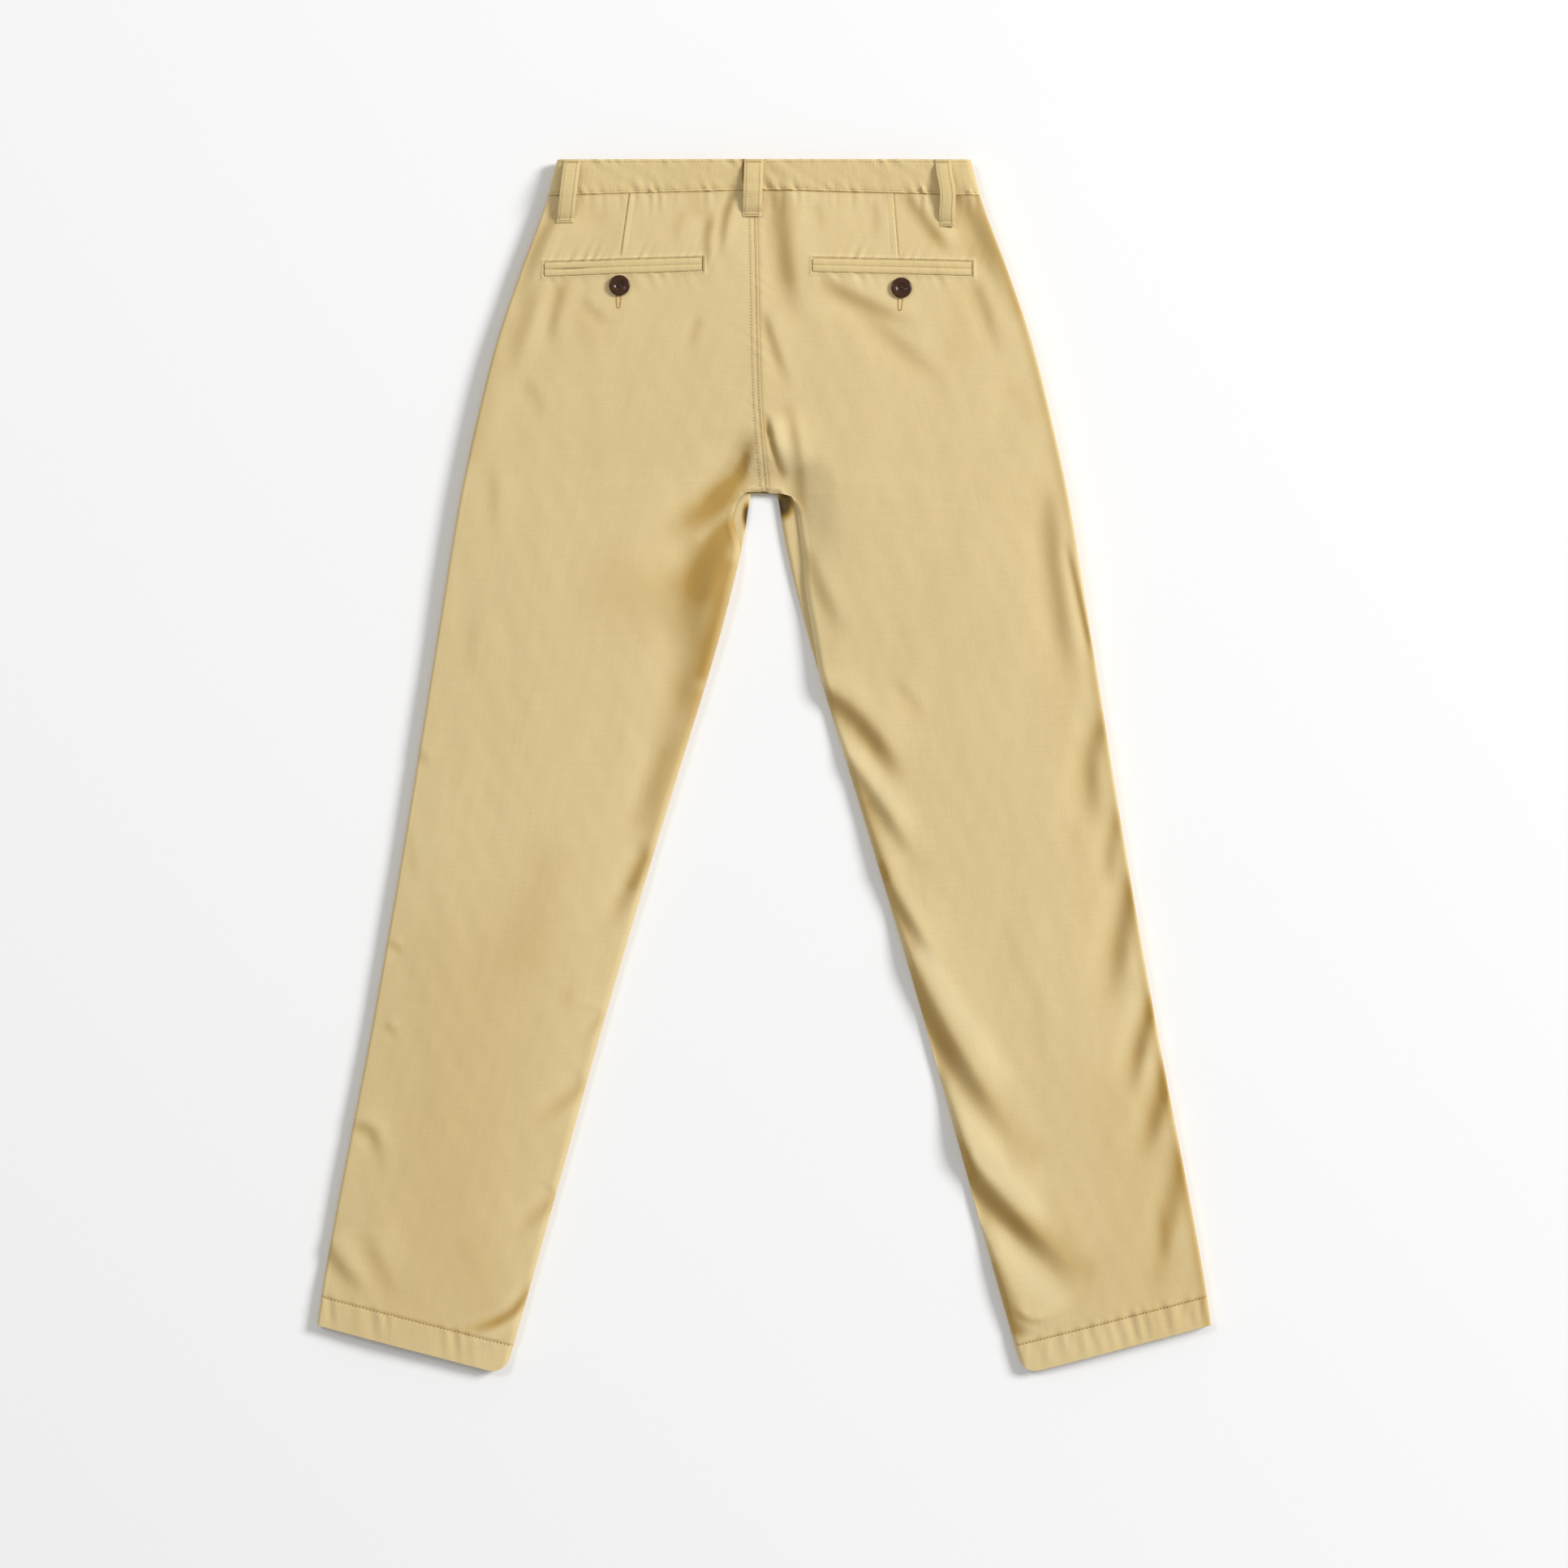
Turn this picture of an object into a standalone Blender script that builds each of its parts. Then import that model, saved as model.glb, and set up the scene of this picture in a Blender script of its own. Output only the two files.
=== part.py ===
"""Chino trousers, laid flat with the back upward.

Each panel is a wall of cloth with its real plan and rise. The front panels lie flat on the
surface z = 0 and turn up at the side seams and inseams, where the back panels meet them. The
legs, the seat and the waist stay open and hollow between the two.

x runs to the right, y towards the waist, z upward. The part's left is the wearer's left.
Sizes are in millimetres and become metres when a mesh is made.
"""

import math
from bisect import bisect_right
from collections import namedtuple

import bmesh
import bpy
from mathutils import Vector
from mathutils.bvhtree import BVHTree

MM = 0.001
LEFT, RIGHT = -1, 1
SIDES = {"left": LEFT, "right": RIGHT}

# ---------------------------------------------------------------- driving sizes
PANEL_WALL = 1.2
HEM_WALL = 2.2
BAND_WALL = 2.2
LOOP_WALL = 1.5
WELT_WALL = 1.0
SEAM_GAP = 0.3
RIM = 1.0                 # upright strip at a panel's edge, where the next panel meets it
CURL = 4.0                # radius at which a front panel turns up

WAIST_TOP = 547.5
WAIST_SEAM_SIDE = 514.5   # y of the waistband's lower edge at the side and at the centre back
WAIST_SEAM_CENTRE = 519.4
BAND_INSERT = (-28.3, 7.0)
BAND_FLARE_FROM = 60.0    # the band's cloth leans with the sides from this far out
BAND_CELLS = 9
BAND_TURN = (0, 22.5, 45, 67.5)
CROTCH_Y = 246.0          # the crotch's lower edge, level from the centre to CROTCH_HALF
CROTCH_HALF = 12.0
CROTCH_DROP = 0.4
CROTCH_BEND = 14.0        # how far the weave's lines dip towards the crotch, and over what reach
CROTCH_REACH = 45.0
HEM_CORNER = 15.0

Point = namedtuple("Point", "y x")
SIDE_LINE = (
    Point(547.5, 187.0),
    Point(518.0, 194.4),
    Point(443.0, 222.0),
    Point(384.0, 242.0),
    Point(326.0, 257.0),
    Point(237.0, 276.4),
    Point(120.0, 295.5),
    Point(-57.0, 324.0),
    Point(-233.0, 354.6),
    Point(-409.0, 388.5),
    Point(-468.0, 399.0),
    Point(-506.4, 404.8),
)
INSEAM_LINE = (
    Point(245.6, 12.0),
    Point(237.0, 13.6),
    Point(208.0, 18.0),
    Point(179.0, 24.3),
    Point(120.0, 39.3),
    Point(61.0, 56.6),
    Point(2.0, 75.0),
    Point(-115.0, 110.7),
    Point(-233.0, 145.5),
    Point(-409.0, 194.4),
    Point(-498.0, 219.4),
    Point(-551.2, 234.5),
)
CENTRE_BACK = (
    Point(547.5, -8.0),
    Point(495.0, -6.2),
    Point(340.0, -2.9),
    Point(246.0, 4.5),
)
# How far the back panel's inseam edge stands inside the outline, where the front panel shows.
Inset = namedtuple("Inset", "y left right")
INSETS = (
    Inset(246.0, 3.0, 0.5),
    Inset(236.0, 9.0, 12.0),
    Inset(222.0, 11.5, 14.0),
    Inset(192.0, 0.5, 13.0),
    Inset(165.0, 0.0, 8.5),
    Inset(121.0, 0.0, 4.5),
    Inset(85.0, 0.0, 0.0),
)

# One row for each station from waist to hem: where it meets the side and the inner line, the
# height of the front panel, of the seam and of the crown, and the back's shoulder radius.
Station = namedtuple(
    "Station", "name side_y in_y base seam top shoulder back_rows front_rows"
)
STATIONS = (
    Station("waist seam", 514.5, 519.4, 3.6, 10.3, 17.0, 7.0, 3, 2),
    Station("welts", 455.0, 459.0, 1.0, 8.0, 19.0, 8.0, 1, 1),
    Station("pocket mouth", 441.0, 445.0, 0.0, 7.0, 19.0, 8.5, 3, 2),
    Station("seat", 375.0, 378.0, 0.0, 5.5, 20.0, 9.0, 1, 1),
    Station("slant foot", 352.0, 355.0, 0.0, 5.3, 20.2, 9.0, 2, 1),
    Station("rise", 300.0, 302.0, 0.0, 5.0, 20.5, 9.0, 2, 1),
    Station("crotch top", 258.0, 258.0, 0.0, 4.7, 20.0, 9.0, 1, 1),
    Station("crotch curve", 253.0, 251.0, 0.0, 4.6, 20.0, 9.0, 1, 1),
    Station("crotch point", 249.0, 246.0, 0.0, 4.5, 20.0, 9.0, 3, 2),
    Station("crotch corner", 243.0, 245.6, 0.0, 4.5, 20.0, 9.0, 2, 1),
    Station("below crotch", 233.0, 237.0, 0.0, 4.5, 19.8, 9.0, 2, 1),
    Station("strip", 219.0, 222.0, 0.0, 4.4, 19.5, 9.0, 3, 2),
    Station("thigh", 175.0, 179.0, 0.0, 4.3, 18.5, 9.0, 5, 3),
    Station("mid thigh", 63.0, 61.0, 0.0, 4.2, 16.0, 8.0, 7, 2),
    Station("knee", -100.0, -115.0, 0.0, 4.0, 14.5, 8.0, 8, 2),
    Station("calf", -290.0, -318.0, 0.0, 4.0, 13.5, 8.0, 8, 2),
    Station("hem line", -480.4, -524.8, 0.0, 4.0, 12.5, 7.5, 4, 3),
    Station("hem", -506.4, -551.2, 0.0, 4.0, 12.0, 7.0, 0, 0),
)

# The largest folds: a trough from (x0, y0) to (x1, y1), bowed sideways by bend, with a ridge
# on the left hand of that direction.
Fold = namedtuple("Fold", "x0 y0 x1 y1 bend width depth ridge")
FOLDS = (
    # left leg, from the crotch
    Fold(-20.0, 300.0, -112.0, -40.0, 14.0, 14.0, 6.0, 0.5),
    Fold(-98.0, -78.0, -154.0, -164.0, 4.0, 12.0, 3.0, 0.4),
    # seat
    Fold(22.0, 510.0, 38.0, 380.0, -7.0, 8.0, 4.0, 0.4),
    Fold(56.0, 442.0, 150.0, 390.0, -3.0, 9.0, 3.0, 0.7),
    Fold(170.0, 498.0, 224.0, 384.0, 4.0, 10.0, 2.8, 0.6),
    # right leg, from the inseam
    Fold(34.0, 200.0, 80.0, 100.0, 2.0, 9.0, 2.4, 0.4),
    Fold(46.0, 70.0, 128.0, -28.0, 8.0, 9.0, 4.4, 0.8),
    Fold(68.0, -4.0, 146.0, -104.0, 5.0, 8.0, 3.6, 0.8),
    Fold(94.0, -90.0, 162.0, -190.0, 3.0, 9.0, 4.2, 0.8),
    Fold(116.0, -166.0, 244.0, -366.0, -5.0, 12.0, 5.4, 0.9),
    Fold(166.0, -348.0, 296.0, -468.0, 4.0, 12.0, 5.4, 0.9),
    # right leg, at the side
    Fold(300.0, 24.0, 304.0, -64.0, -6.0, 9.0, 2.4, 0.4),
    Fold(334.0, -104.0, 312.0, -196.0, -5.0, 9.0, 2.4, 0.4),
    Fold(356.0, -224.0, 328.0, -316.0, -4.0, 9.0, 2.4, 0.4),
)
FOLDS_TOP = 512.0         # the folds stop here and do not run on up the band
RIDGE_SHARE = 0.72        # the shoulder's share of the rise; the crown gives the rest
CROWN_ROUND = 0.8         # under 1, the crown is flatter on top than a sine
SEAT_BLEND = (150.0, 275.0)   # y over which two legs' crowns become the seat's one

# Across a panel: distances from each edge where the cloth turns, and cells between them.
EDGE_STEPS = (1.2, 3.4, 7.5)
BACK_CELLS = 12
FRONT_CELLS = 3

# Belt loops: x at the top and at the bottom, y of the bottom, width.
Loop = namedtuple("Loop", "name x_top x_bottom y_bottom width")
BACK_LOOPS = (
    Loop("loop_back_left", -173.0, -179.6, 489.8, 14.0),
    Loop("loop_centre", -9.2, -10.7, 495.4, 16.0),
    Loop("loop_back_right", 161.5, 167.0, 486.6, 13.0),
)
FRONT_LOOPS = (
    Loop("loop_front_left", -98.0, -101.0, 493.0, 14.0),
    Loop("loop_front_right", 98.0, 101.0, 493.0, 14.0),
)
LOOP_BOW = 5.5
LOOP_PRESSED_BOW = 1.2
LOOP_STITCHED = 5.0       # length sewn down at each end of a loop
LOOP_CELLS = 12
LOOP_TOP = WAIST_TOP - 0.5

# Double-welt pockets: x and y of the frame's corners, outer end first.
Welt = namedtuple("Welt", "side out_x out_top out_bottom in_x in_top in_bottom")
WELTS = (
    Welt("left", -198.0, 454.2, 441.0, -55.4, 458.6, 446.1),
    Welt("right", 187.4, 455.0, 441.7, 44.0, 457.9, 444.7),
)
WELT_MOUTH = 0.6
WELT_CELLS = 14
WELT_GAP = 0.55

Button = namedtuple("Button", "name x y")
BACK_BUTTONS = (
    Button("button_left", -130.5, 432.9),
    Button("button_right", 123.8, 430.7),
)
WAIST_BUTTON = Button("button_waist", -14.0, 533.0)
BUTTON_RADIUS = 9.4
BUTTON_THICK = 2.9
BUTTON_BASE = 0.88        # the flat underside's share of the radius
BUTTON_HOLES = 4
BUTTON_HOLE_RADIUS = 0.9
BUTTON_HOLE_RING = 1.9
BUTTON_SIDES = 20

# Slant front pockets: the front panel's edge runs from the waist seam down to the side seam.
SLANT_TOP_X = 148.0
SLANT_BOTTOM_Y = 352.0
SLANT_CURVE = 1.35        # over 1, the pocket's edge leaves the side seam gently
FOOT_DROP = 0.6           # room where the front's edge twists from flat to upright
FOOT_REACH = 20.0
FACING_OVERLAP = 24.0
FACING_LIFT = PANEL_WALL + SEAM_GAP
FACING_ROWS = 7

FLY_BOTTOM_Y = 352.0
FLY_RISE_Y = 300.0        # below this the two fronts lie edge to edge
FLY_OVERLAP = 6.0         # how far the left front reaches over the right
FLY_RAMP = (2.5, 11.0)    # x over which the right front steps up behind the left
FLY_TOP_Y = WAIST_SEAM_SIDE + 3.0
FLY_END_Y = FLY_BOTTOM_Y + 12.0
FLY_ROWS = 6
ZIP_WIDTH = 18.0
SHIELD = (-34.0, 5.0)     # x of the fly shield's two edges
BAND_STEP_X = 14.0        # the right band steps up from here, and its end lies behind the left's
BAND_TUCKED = (9.5, 5.0, 1.0, -10.0, -22.0, -34.0)

# ---------------------------------------------------------------- curves and heights


def curve(rows):
    """A function through (place, value) rows, smooth and with no overshoot."""
    rows = sorted(rows)
    places = [row[0] for row in rows]
    values = [row[1] for row in rows]
    steps = [b - a for a, b in zip(places, places[1:])]
    slopes = [(b - a) / step for a, b, step in zip(values, values[1:], steps)]
    middle = [0 if a * b <= 0 else 2 * a * b / (a + b) for a, b in zip(slopes, slopes[1:])]
    tangents = [slopes[0], *middle, slopes[-1]]

    def value(place):
        place = min(max(place, places[0]), places[-1])
        i = min(bisect_right(places, place) - 1, len(steps) - 1)
        t = (place - places[i]) / steps[i]
        rise = values[i + 1] - values[i]
        start = tangents[i] * steps[i]
        end = tangents[i + 1] * steps[i]
        return (
            values[i]
            + t * start
            + t * t * (3 * rise - 2 * start - end)
            + t * t * t * (start + end - 2 * rise)
        )

    return value


side_x = curve(SIDE_LINE)
inseam_x = curve(INSEAM_LINE)
centre_back_x = curve(CENTRE_BACK)
inner_y = curve([(s.side_y, s.in_y) for s in STATIONS])
base_z = curve([(s.side_y, s.base) for s in STATIONS])
seam_z = curve([(s.side_y, s.seam) for s in STATIONS])
top_z = curve([(s.side_y, s.top) for s in STATIONS])
shoulder = curve([(s.side_y, s.shoulder) for s in STATIONS])
inset_of = {
    LEFT: curve([(row.y, row.left) for row in INSETS]),
    RIGHT: curve([(row.y, row.right) for row in INSETS]),
}


def smoothstep(start, end, value):
    t = min(max((value - start) / (end - start), 0.0), 1.0)
    return t * t * (3 - 2 * t)


def quarter_ellipse(t):
    """0 at an edge, rising upright from it and level from t = 1."""
    t = min(max(t, 0.0), 1.0)
    return math.sqrt(1 - (1 - t) ** 2)


def back_inset(side, y):
    return 0.0 if y > CROTCH_Y else inset_of[side](y)


def distance_to_inner_line(x, y):
    """Plan distance to the crotch's lower edge and the inseams below it."""
    low = CROTCH_Y - CROTCH_DROP
    if y >= low:
        beyond = max(abs(x) - CROTCH_HALF, 0.0)
        return math.hypot(beyond, y - low)
    slope = (inseam_x(y - 5) - inseam_x(y + 5)) / 10
    return (abs(x) - inseam_x(y)) / math.hypot(1, slope)


def fold_height(x, y):
    """The rise or fall that the folds give the back at a place."""
    height = 0.0
    for fold in FOLDS:
        run_x = fold.x1 - fold.x0
        run_y = fold.y1 - fold.y0
        length = math.hypot(run_x, run_y)
        along = ((x - fold.x0) * run_x + (y - fold.y0) * run_y) / length**2
        if not 0 < along < 1:
            continue
        off = ((y - fold.y0) * run_x - (x - fold.x0) * run_y) / length
        off -= fold.bend * 4 * along * (1 - along)
        strength = fold.depth * math.sin(math.pi * along) ** 0.8
        height -= strength * math.exp(-((off / fold.width) ** 2))
        crest = (off - 1.9 * fold.width) / (1.3 * fold.width)
        height += fold.ridge * strength * math.exp(-(crest**2))
    return height


class Section:
    """One line across a panel, from the side seam to the inner line."""

    def __init__(self, side, side_y, start=0.0):
        self.side = side
        self.side_y = side_y
        self.y0 = side_y
        self.x0 = side * (side_x(side_y) - start)
        self.y1 = inner_y(side_y)
        self.x1 = self.inner_x(self.y1)
        self.width = math.hypot(self.x1 - self.x0, self.y1 - self.y0)
        near_crotch = smoothstep(310.0, 250.0, self.y1) * smoothstep(170.0, 240.0, self.y1)
        self.bend = CROTCH_BEND * near_crotch

    def inner_x(self, y):
        centre = self.centre_x(y)
        if y >= CROTCH_Y:
            return centre
        low = CROTCH_Y - CROTCH_DROP
        if y >= low:
            share = (CROTCH_Y - y) / CROTCH_DROP
            return centre + share * (self.side * CROTCH_HALF - centre)
        return self.side * inseam_x(y)

    def centre_x(self, y):
        return centre_back_x(y) + self.side * SEAM_GAP / 2

    def place(self, distance):
        """Plan position at a distance from the side seam, with the hem's inner corner rounded."""
        share = distance / self.width
        x = self.x0 + share * (self.x1 - self.x0)
        y = self.y0 + share * (self.y1 + self.bend - self.y0)
        near = max(1 - (self.width - distance) / CROTCH_REACH, 0.0)
        return self.rounded(x, y - self.bend * near * near, self.width - distance)

    def rounded(self, x, y, from_inner):
        hem = STATIONS[-1]
        tilt = math.atan2(hem.in_y - hem.side_y, inseam_x(hem.in_y) - side_x(hem.side_y))
        from_hem = (self.side_y - hem.side_y) * math.cos(tilt + math.pi)
        if from_inner >= HEM_CORNER or from_hem >= HEM_CORNER:
            return x, y
        a = HEM_CORNER - from_inner
        b = HEM_CORNER - from_hem
        pull = 1 - max(a, b) / math.hypot(a, b)
        run_x = (self.x0 - self.x1) / self.width
        run_y = (self.y0 - self.y1) / self.width
        return (
            x + pull * (a * run_x - b * run_y * self.side),
            y + pull * (a * run_y + b * run_x * self.side),
        )

    def rims(self, cells, turn_side, turn_inner, width=None):
        """(distance, rim) pairs across: rim is how far the edge strip stands below the cloth."""
        width = self.width if width is None else width
        inner = [width - step for step in reversed(EDGE_STEPS)]
        first, last = EDGE_STEPS[-1], inner[0]
        middle = [first + (last - first) * i / cells for i in range(1, cells)]
        pairs = [(0.0, turn_side), (RIM * (1 - turn_side), 0.0)]
        pairs += [(distance, 0.0) for distance in (*EDGE_STEPS, *middle, *inner)]
        pairs += [(width - RIM * (1 - turn_inner), 0.0), (width, turn_inner)]
        return pairs


def crown(section, from_side, from_inner):
    """The slow rise across: over one leg, or over the whole seat above the crotch."""
    across = from_side + max(from_inner, 0.0)
    share = min(max(from_side / max(across, 1.0), 0.0), 1.0)
    leg = math.sin(math.pi * share) ** CROWN_ROUND
    seat = math.sin(math.pi / 2 * min(from_side / section.width, 1.0)) ** CROWN_ROUND
    blend = smoothstep(*SEAT_BLEND, section.y1)
    return leg + blend * (seat - leg)


def back_z(section, x, y, from_side):
    """Height of the back's outer face."""
    radius = shoulder(section.side_y)
    low = seam_z(section.side_y) + SEAM_GAP / 2 + RIM
    from_inner = distance_to_inner_line(x, y) - back_inset(section.side, y)
    edges = quarter_ellipse(from_side / radius) * quarter_ellipse(from_inner / radius)
    rise = top_z(section.side_y) - low
    slow = crown(section, from_side, from_inner)
    height = rise * (RIDGE_SHARE * edges + (1 - RIDGE_SHARE) * slow * edges)
    return low + height + edges * fold_height(x, y)


def front_z(section, from_side, from_inner):
    """Height of the front's outer face, which looks down."""
    base = base_z(section.side_y)
    high = seam_z(section.side_y) - SEAM_GAP / 2 - RIM
    wider = smoothstep(430.0, WAIST_SEAM_SIDE, section.side_y)
    side_radius = CURL + wider * (shoulder(WAIST_SEAM_SIDE) - CURL)
    turned = 1 - quarter_ellipse(from_side / side_radius) * quarter_ellipse(from_inner / CURL)
    return base + (high - base) * turned


# ---------------------------------------------------------------- making cloth


def finish_material(name, color, roughness, metallic=0.0):
    material = bpy.data.materials.new(name)
    material.use_nodes = True
    shader = material.node_tree.nodes["Principled BSDF"]
    shader.inputs["Base Color"].default_value = (*color, 1.0)
    shader.inputs["Roughness"].default_value = roughness
    shader.inputs["Metallic"].default_value = metallic
    return material


def clear_scene():
    for obj in list(bpy.data.objects):
        bpy.data.objects.remove(obj, do_unlink=True)


def new_collection(name):
    collection = bpy.data.collections.new(name)
    bpy.context.scene.collection.children.link(collection)
    return collection


def grid_mesh(name, points, flip):
    """A mesh grid with its vertices at points[row][column], in millimetres."""
    rows, columns = len(points), len(points[0])
    bm = bmesh.new()
    bmesh.ops.create_grid(bm, x_segments=columns - 1, y_segments=rows - 1, size=0.5)
    for vertex in bm.verts:
        column = round((vertex.co.x + 0.5) * (columns - 1))
        row = round((vertex.co.y + 0.5) * (rows - 1))
        vertex.co = Vector(points[row][column]) * MM
    if flip:
        bmesh.ops.reverse_faces(bm, faces=bm.faces)
    mesh = bpy.data.meshes.new(name)
    bm.to_mesh(mesh)
    bm.free()
    return mesh


def cloth(name, points, wall, parts, material, flip=False, outward=False):
    """A wall of cloth behind the grid's outer face, or in front of it with outward."""
    obj = bpy.data.objects.new(name, grid_mesh(name, points, flip))
    parts.objects.link(obj)
    obj.data.materials.append(material)
    obj.data.shade_smooth()
    solidify = obj.modifiers.new("Wall", "SOLIDIFY")
    solidify.thickness = wall * MM
    solidify.offset = 1.0 if outward else -1.0
    solidify.use_even_offset = True
    solidify.use_quality_normals = True
    solidify.use_rim = True
    return obj


def rows_between(first, last, layer):
    """y at the side for each row from one named station to another: layer is back or front."""
    names = [station.name for station in STATIONS]
    chosen = STATIONS[names.index(first) : names.index(last) + 1]
    places = [chosen[0].side_y]
    for here, after in zip(chosen, chosen[1:]):
        count = here.back_rows if layer == "back" else here.front_rows
        step = (after.side_y - here.side_y) / count
        places += [here.side_y + step * i for i in range(1, count + 1)]
    return places


def with_gaps(places, at_start, at_end):
    """The same rows, drawn back by half a seam gap at each end where another piece starts."""
    half = SEAM_GAP / 2
    first = places[0] - (half if at_start else 0.0)
    last = places[-1] + (half if at_end else 0.0)
    return [first, *places[1:-1], last]


def crotch_turn(y):
    """0 on the centre seam, 1 where the inner edge turns over and meets the other face."""
    return 1 - smoothstep(CROTCH_Y, CROTCH_Y + 4.0, y)


def back_rows(side, places):
    rows = []
    for side_y in places:
        section = Section(side, side_y)
        turn = crotch_turn(section.y1)
        width = section.width - back_inset(side, section.y1)
        row = []
        for distance, rim in section.rims(BACK_CELLS, 1.0, turn, width):
            x, y = section.place(distance)
            z = back_z(section, x, y, distance) - RIM * rim
            row.append((x, y, z))
        rows.append(row)
    return rows


def slant_start(side_y):
    """How far inside the side seam the front panel starts, at its slant pocket."""
    if side_y <= SLANT_BOTTOM_Y:
        return 0.0
    share = (side_y - SLANT_BOTTOM_Y) / (WAIST_SEAM_SIDE - SLANT_BOTTOM_Y)
    return share**SLANT_CURVE * (side_x(WAIST_SEAM_SIDE) - SLANT_TOP_X)


def foot_drop(side_y):
    """Room at the slant pocket's foot, where the front's edge twists from flat to upright."""
    return FOOT_DROP * math.exp(-(((side_y - SLANT_BOTTOM_Y) / FOOT_REACH) ** 2))


def front_inner_x(side, y):
    """The centre front: the left reaches the fly's edge, the right lies behind it."""
    behind = FLY_OVERLAP * smoothstep(FLY_RISE_Y + 2.0, FLY_BOTTOM_Y, y)
    edge = side * SEAM_GAP / 2
    return edge - behind if side == RIGHT else edge


class FrontSection(Section):
    def __init__(self, side, side_y):
        super().__init__(side, side_y, slant_start(side_y))

    def centre_x(self, y):
        return front_inner_x(self.side, y)


def fly_rise(side, x, y):
    """The right front lifts by one wall and a gap where it passes behind the left."""
    if side == LEFT:
        return 0.0
    lift = PANEL_WALL + SEAM_GAP
    near = 1 - smoothstep(*FLY_RAMP, x)
    return lift * near * smoothstep(CROTCH_Y + 14.0, FLY_RISE_Y, y)


def front_rows(side, places):
    rows = []
    for side_y in places:
        section = FrontSection(side, side_y)
        turn_side = 1.0 if side_y <= SLANT_BOTTOM_Y else 0.0
        turn = crotch_turn(section.y1)
        inset = back_inset(side, section.y1) * turn
        start = slant_start(side_y)
        pairs = section.rims(FRONT_CELLS, turn_side, turn)
        row = []
        for i, (distance, rim) in enumerate(pairs):
            x, y = section.place(distance)
            z = front_z(section, distance + start, distance_to_inner_line(x, y)) + RIM * rim
            z += fly_rise(side, x, y)
            if i == 0:
                z -= foot_drop(side_y) * turn_side
            if i == len(pairs) - 1 and inset:
                x, y = section.place(distance - inset)
            row.append((x, y, z))
        rows.append(row)
    return rows


def shell_tree(obj):
    """The finished faces of a piece, to lay other pieces on."""
    graph = bpy.context.evaluated_depsgraph_get()
    mesh = obj.evaluated_get(graph).to_mesh()
    mesh.calc_loop_triangles()
    points = [vertex.co.copy() for vertex in mesh.vertices]
    triangles = [tuple(t.vertices) for t in mesh.loop_triangles]
    obj.evaluated_get(graph).to_mesh_clear()
    return BVHTree.FromPolygons(points, triangles)


def on_top(trees, x, y):
    """The highest of these pieces at a place, in millimetres, with its normal."""
    found = []
    for tree in trees:
        spot, normal, _, _ = tree.ray_cast(Vector((x * MM, y * MM, 1.0)), Vector((0, 0, -1)))
        if spot is not None:
            found.append((spot.z / MM, normal))
    return max(found, key=lambda hit: hit[0]) if found else None


def under_side(trees, x, y):
    """The lowest height of these pieces at a place, in millimetres."""
    hits = [tree.ray_cast(Vector((x * MM, y * MM, -1.0)), Vector((0, 0, 1)))[0] for tree in trees]
    return min(spot.z / MM for spot in hits if spot is not None)


# ---------------------------------------------------------------- the pieces


def make_panels(parts, twill):
    back_places = rows_between("waist seam", "hem line", "back")
    front_places = rows_between("waist seam", "hem line", "front")
    back_hem = rows_between("hem line", "hem", "back")
    front_hem = rows_between("hem line", "hem", "front")
    made = {}
    for name, side in SIDES.items():
        places = with_gaps(back_places, True, True)
        made[f"back_{name}"] = cloth(
            f"back_{name}", back_rows(side, places), PANEL_WALL, parts, twill, side == LEFT
        )
        places = with_gaps(front_places, True, True)
        made[f"front_{name}"] = cloth(
            f"front_{name}", front_rows(side, places), PANEL_WALL, parts, twill, side == RIGHT
        )
        places = with_gaps(back_hem, True, False)
        made[f"hem_back_{name}"] = cloth(
            f"hem_back_{name}", back_rows(side, places), HEM_WALL, parts, twill, side == LEFT
        )
        places = with_gaps(front_hem, True, False)
        made[f"hem_front_{name}"] = cloth(
            f"hem_front_{name}", front_rows(side, places), HEM_WALL, parts, twill, side == RIGHT
        )
    return made


def make_pocket_facings(parts, twill):
    """The cloth that shows in each slant front pocket and carries on to the side seam."""
    for name, side in SIDES.items():
        rows = []
        top = WAIST_SEAM_SIDE - SEAM_GAP / 2
        low = SLANT_BOTTOM_Y + FACING_OVERLAP
        for i in range(FACING_ROWS + 1):
            side_y = top + (low - top) * i / FACING_ROWS
            section = Section(side, side_y)
            reach = slant_start(side_y) + FACING_OVERLAP
            steps = (0.0, 0.0, *EDGE_STEPS, EDGE_STEPS[-1] + (reach - EDGE_STEPS[-1]) / 2, reach)
            row = []
            for column, distance in enumerate(steps):
                x, y = section.place(distance)
                z = max(front_z(section, distance, CURL), base_z(side_y) + FACING_LIFT)
                row.append((x, y, z + (RIM if column == 0 else 0.0)))
            rows.append(row)
        cloth(f"pocket_facing_{name}", rows, PANEL_WALL, parts, twill, side == RIGHT)


def waist_seam_y(x):
    share = abs(x) / side_x(WAIST_SEAM_SIDE)
    return WAIST_SEAM_CENTRE + share * (WAIST_SEAM_SIDE - WAIST_SEAM_CENTRE)


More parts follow.
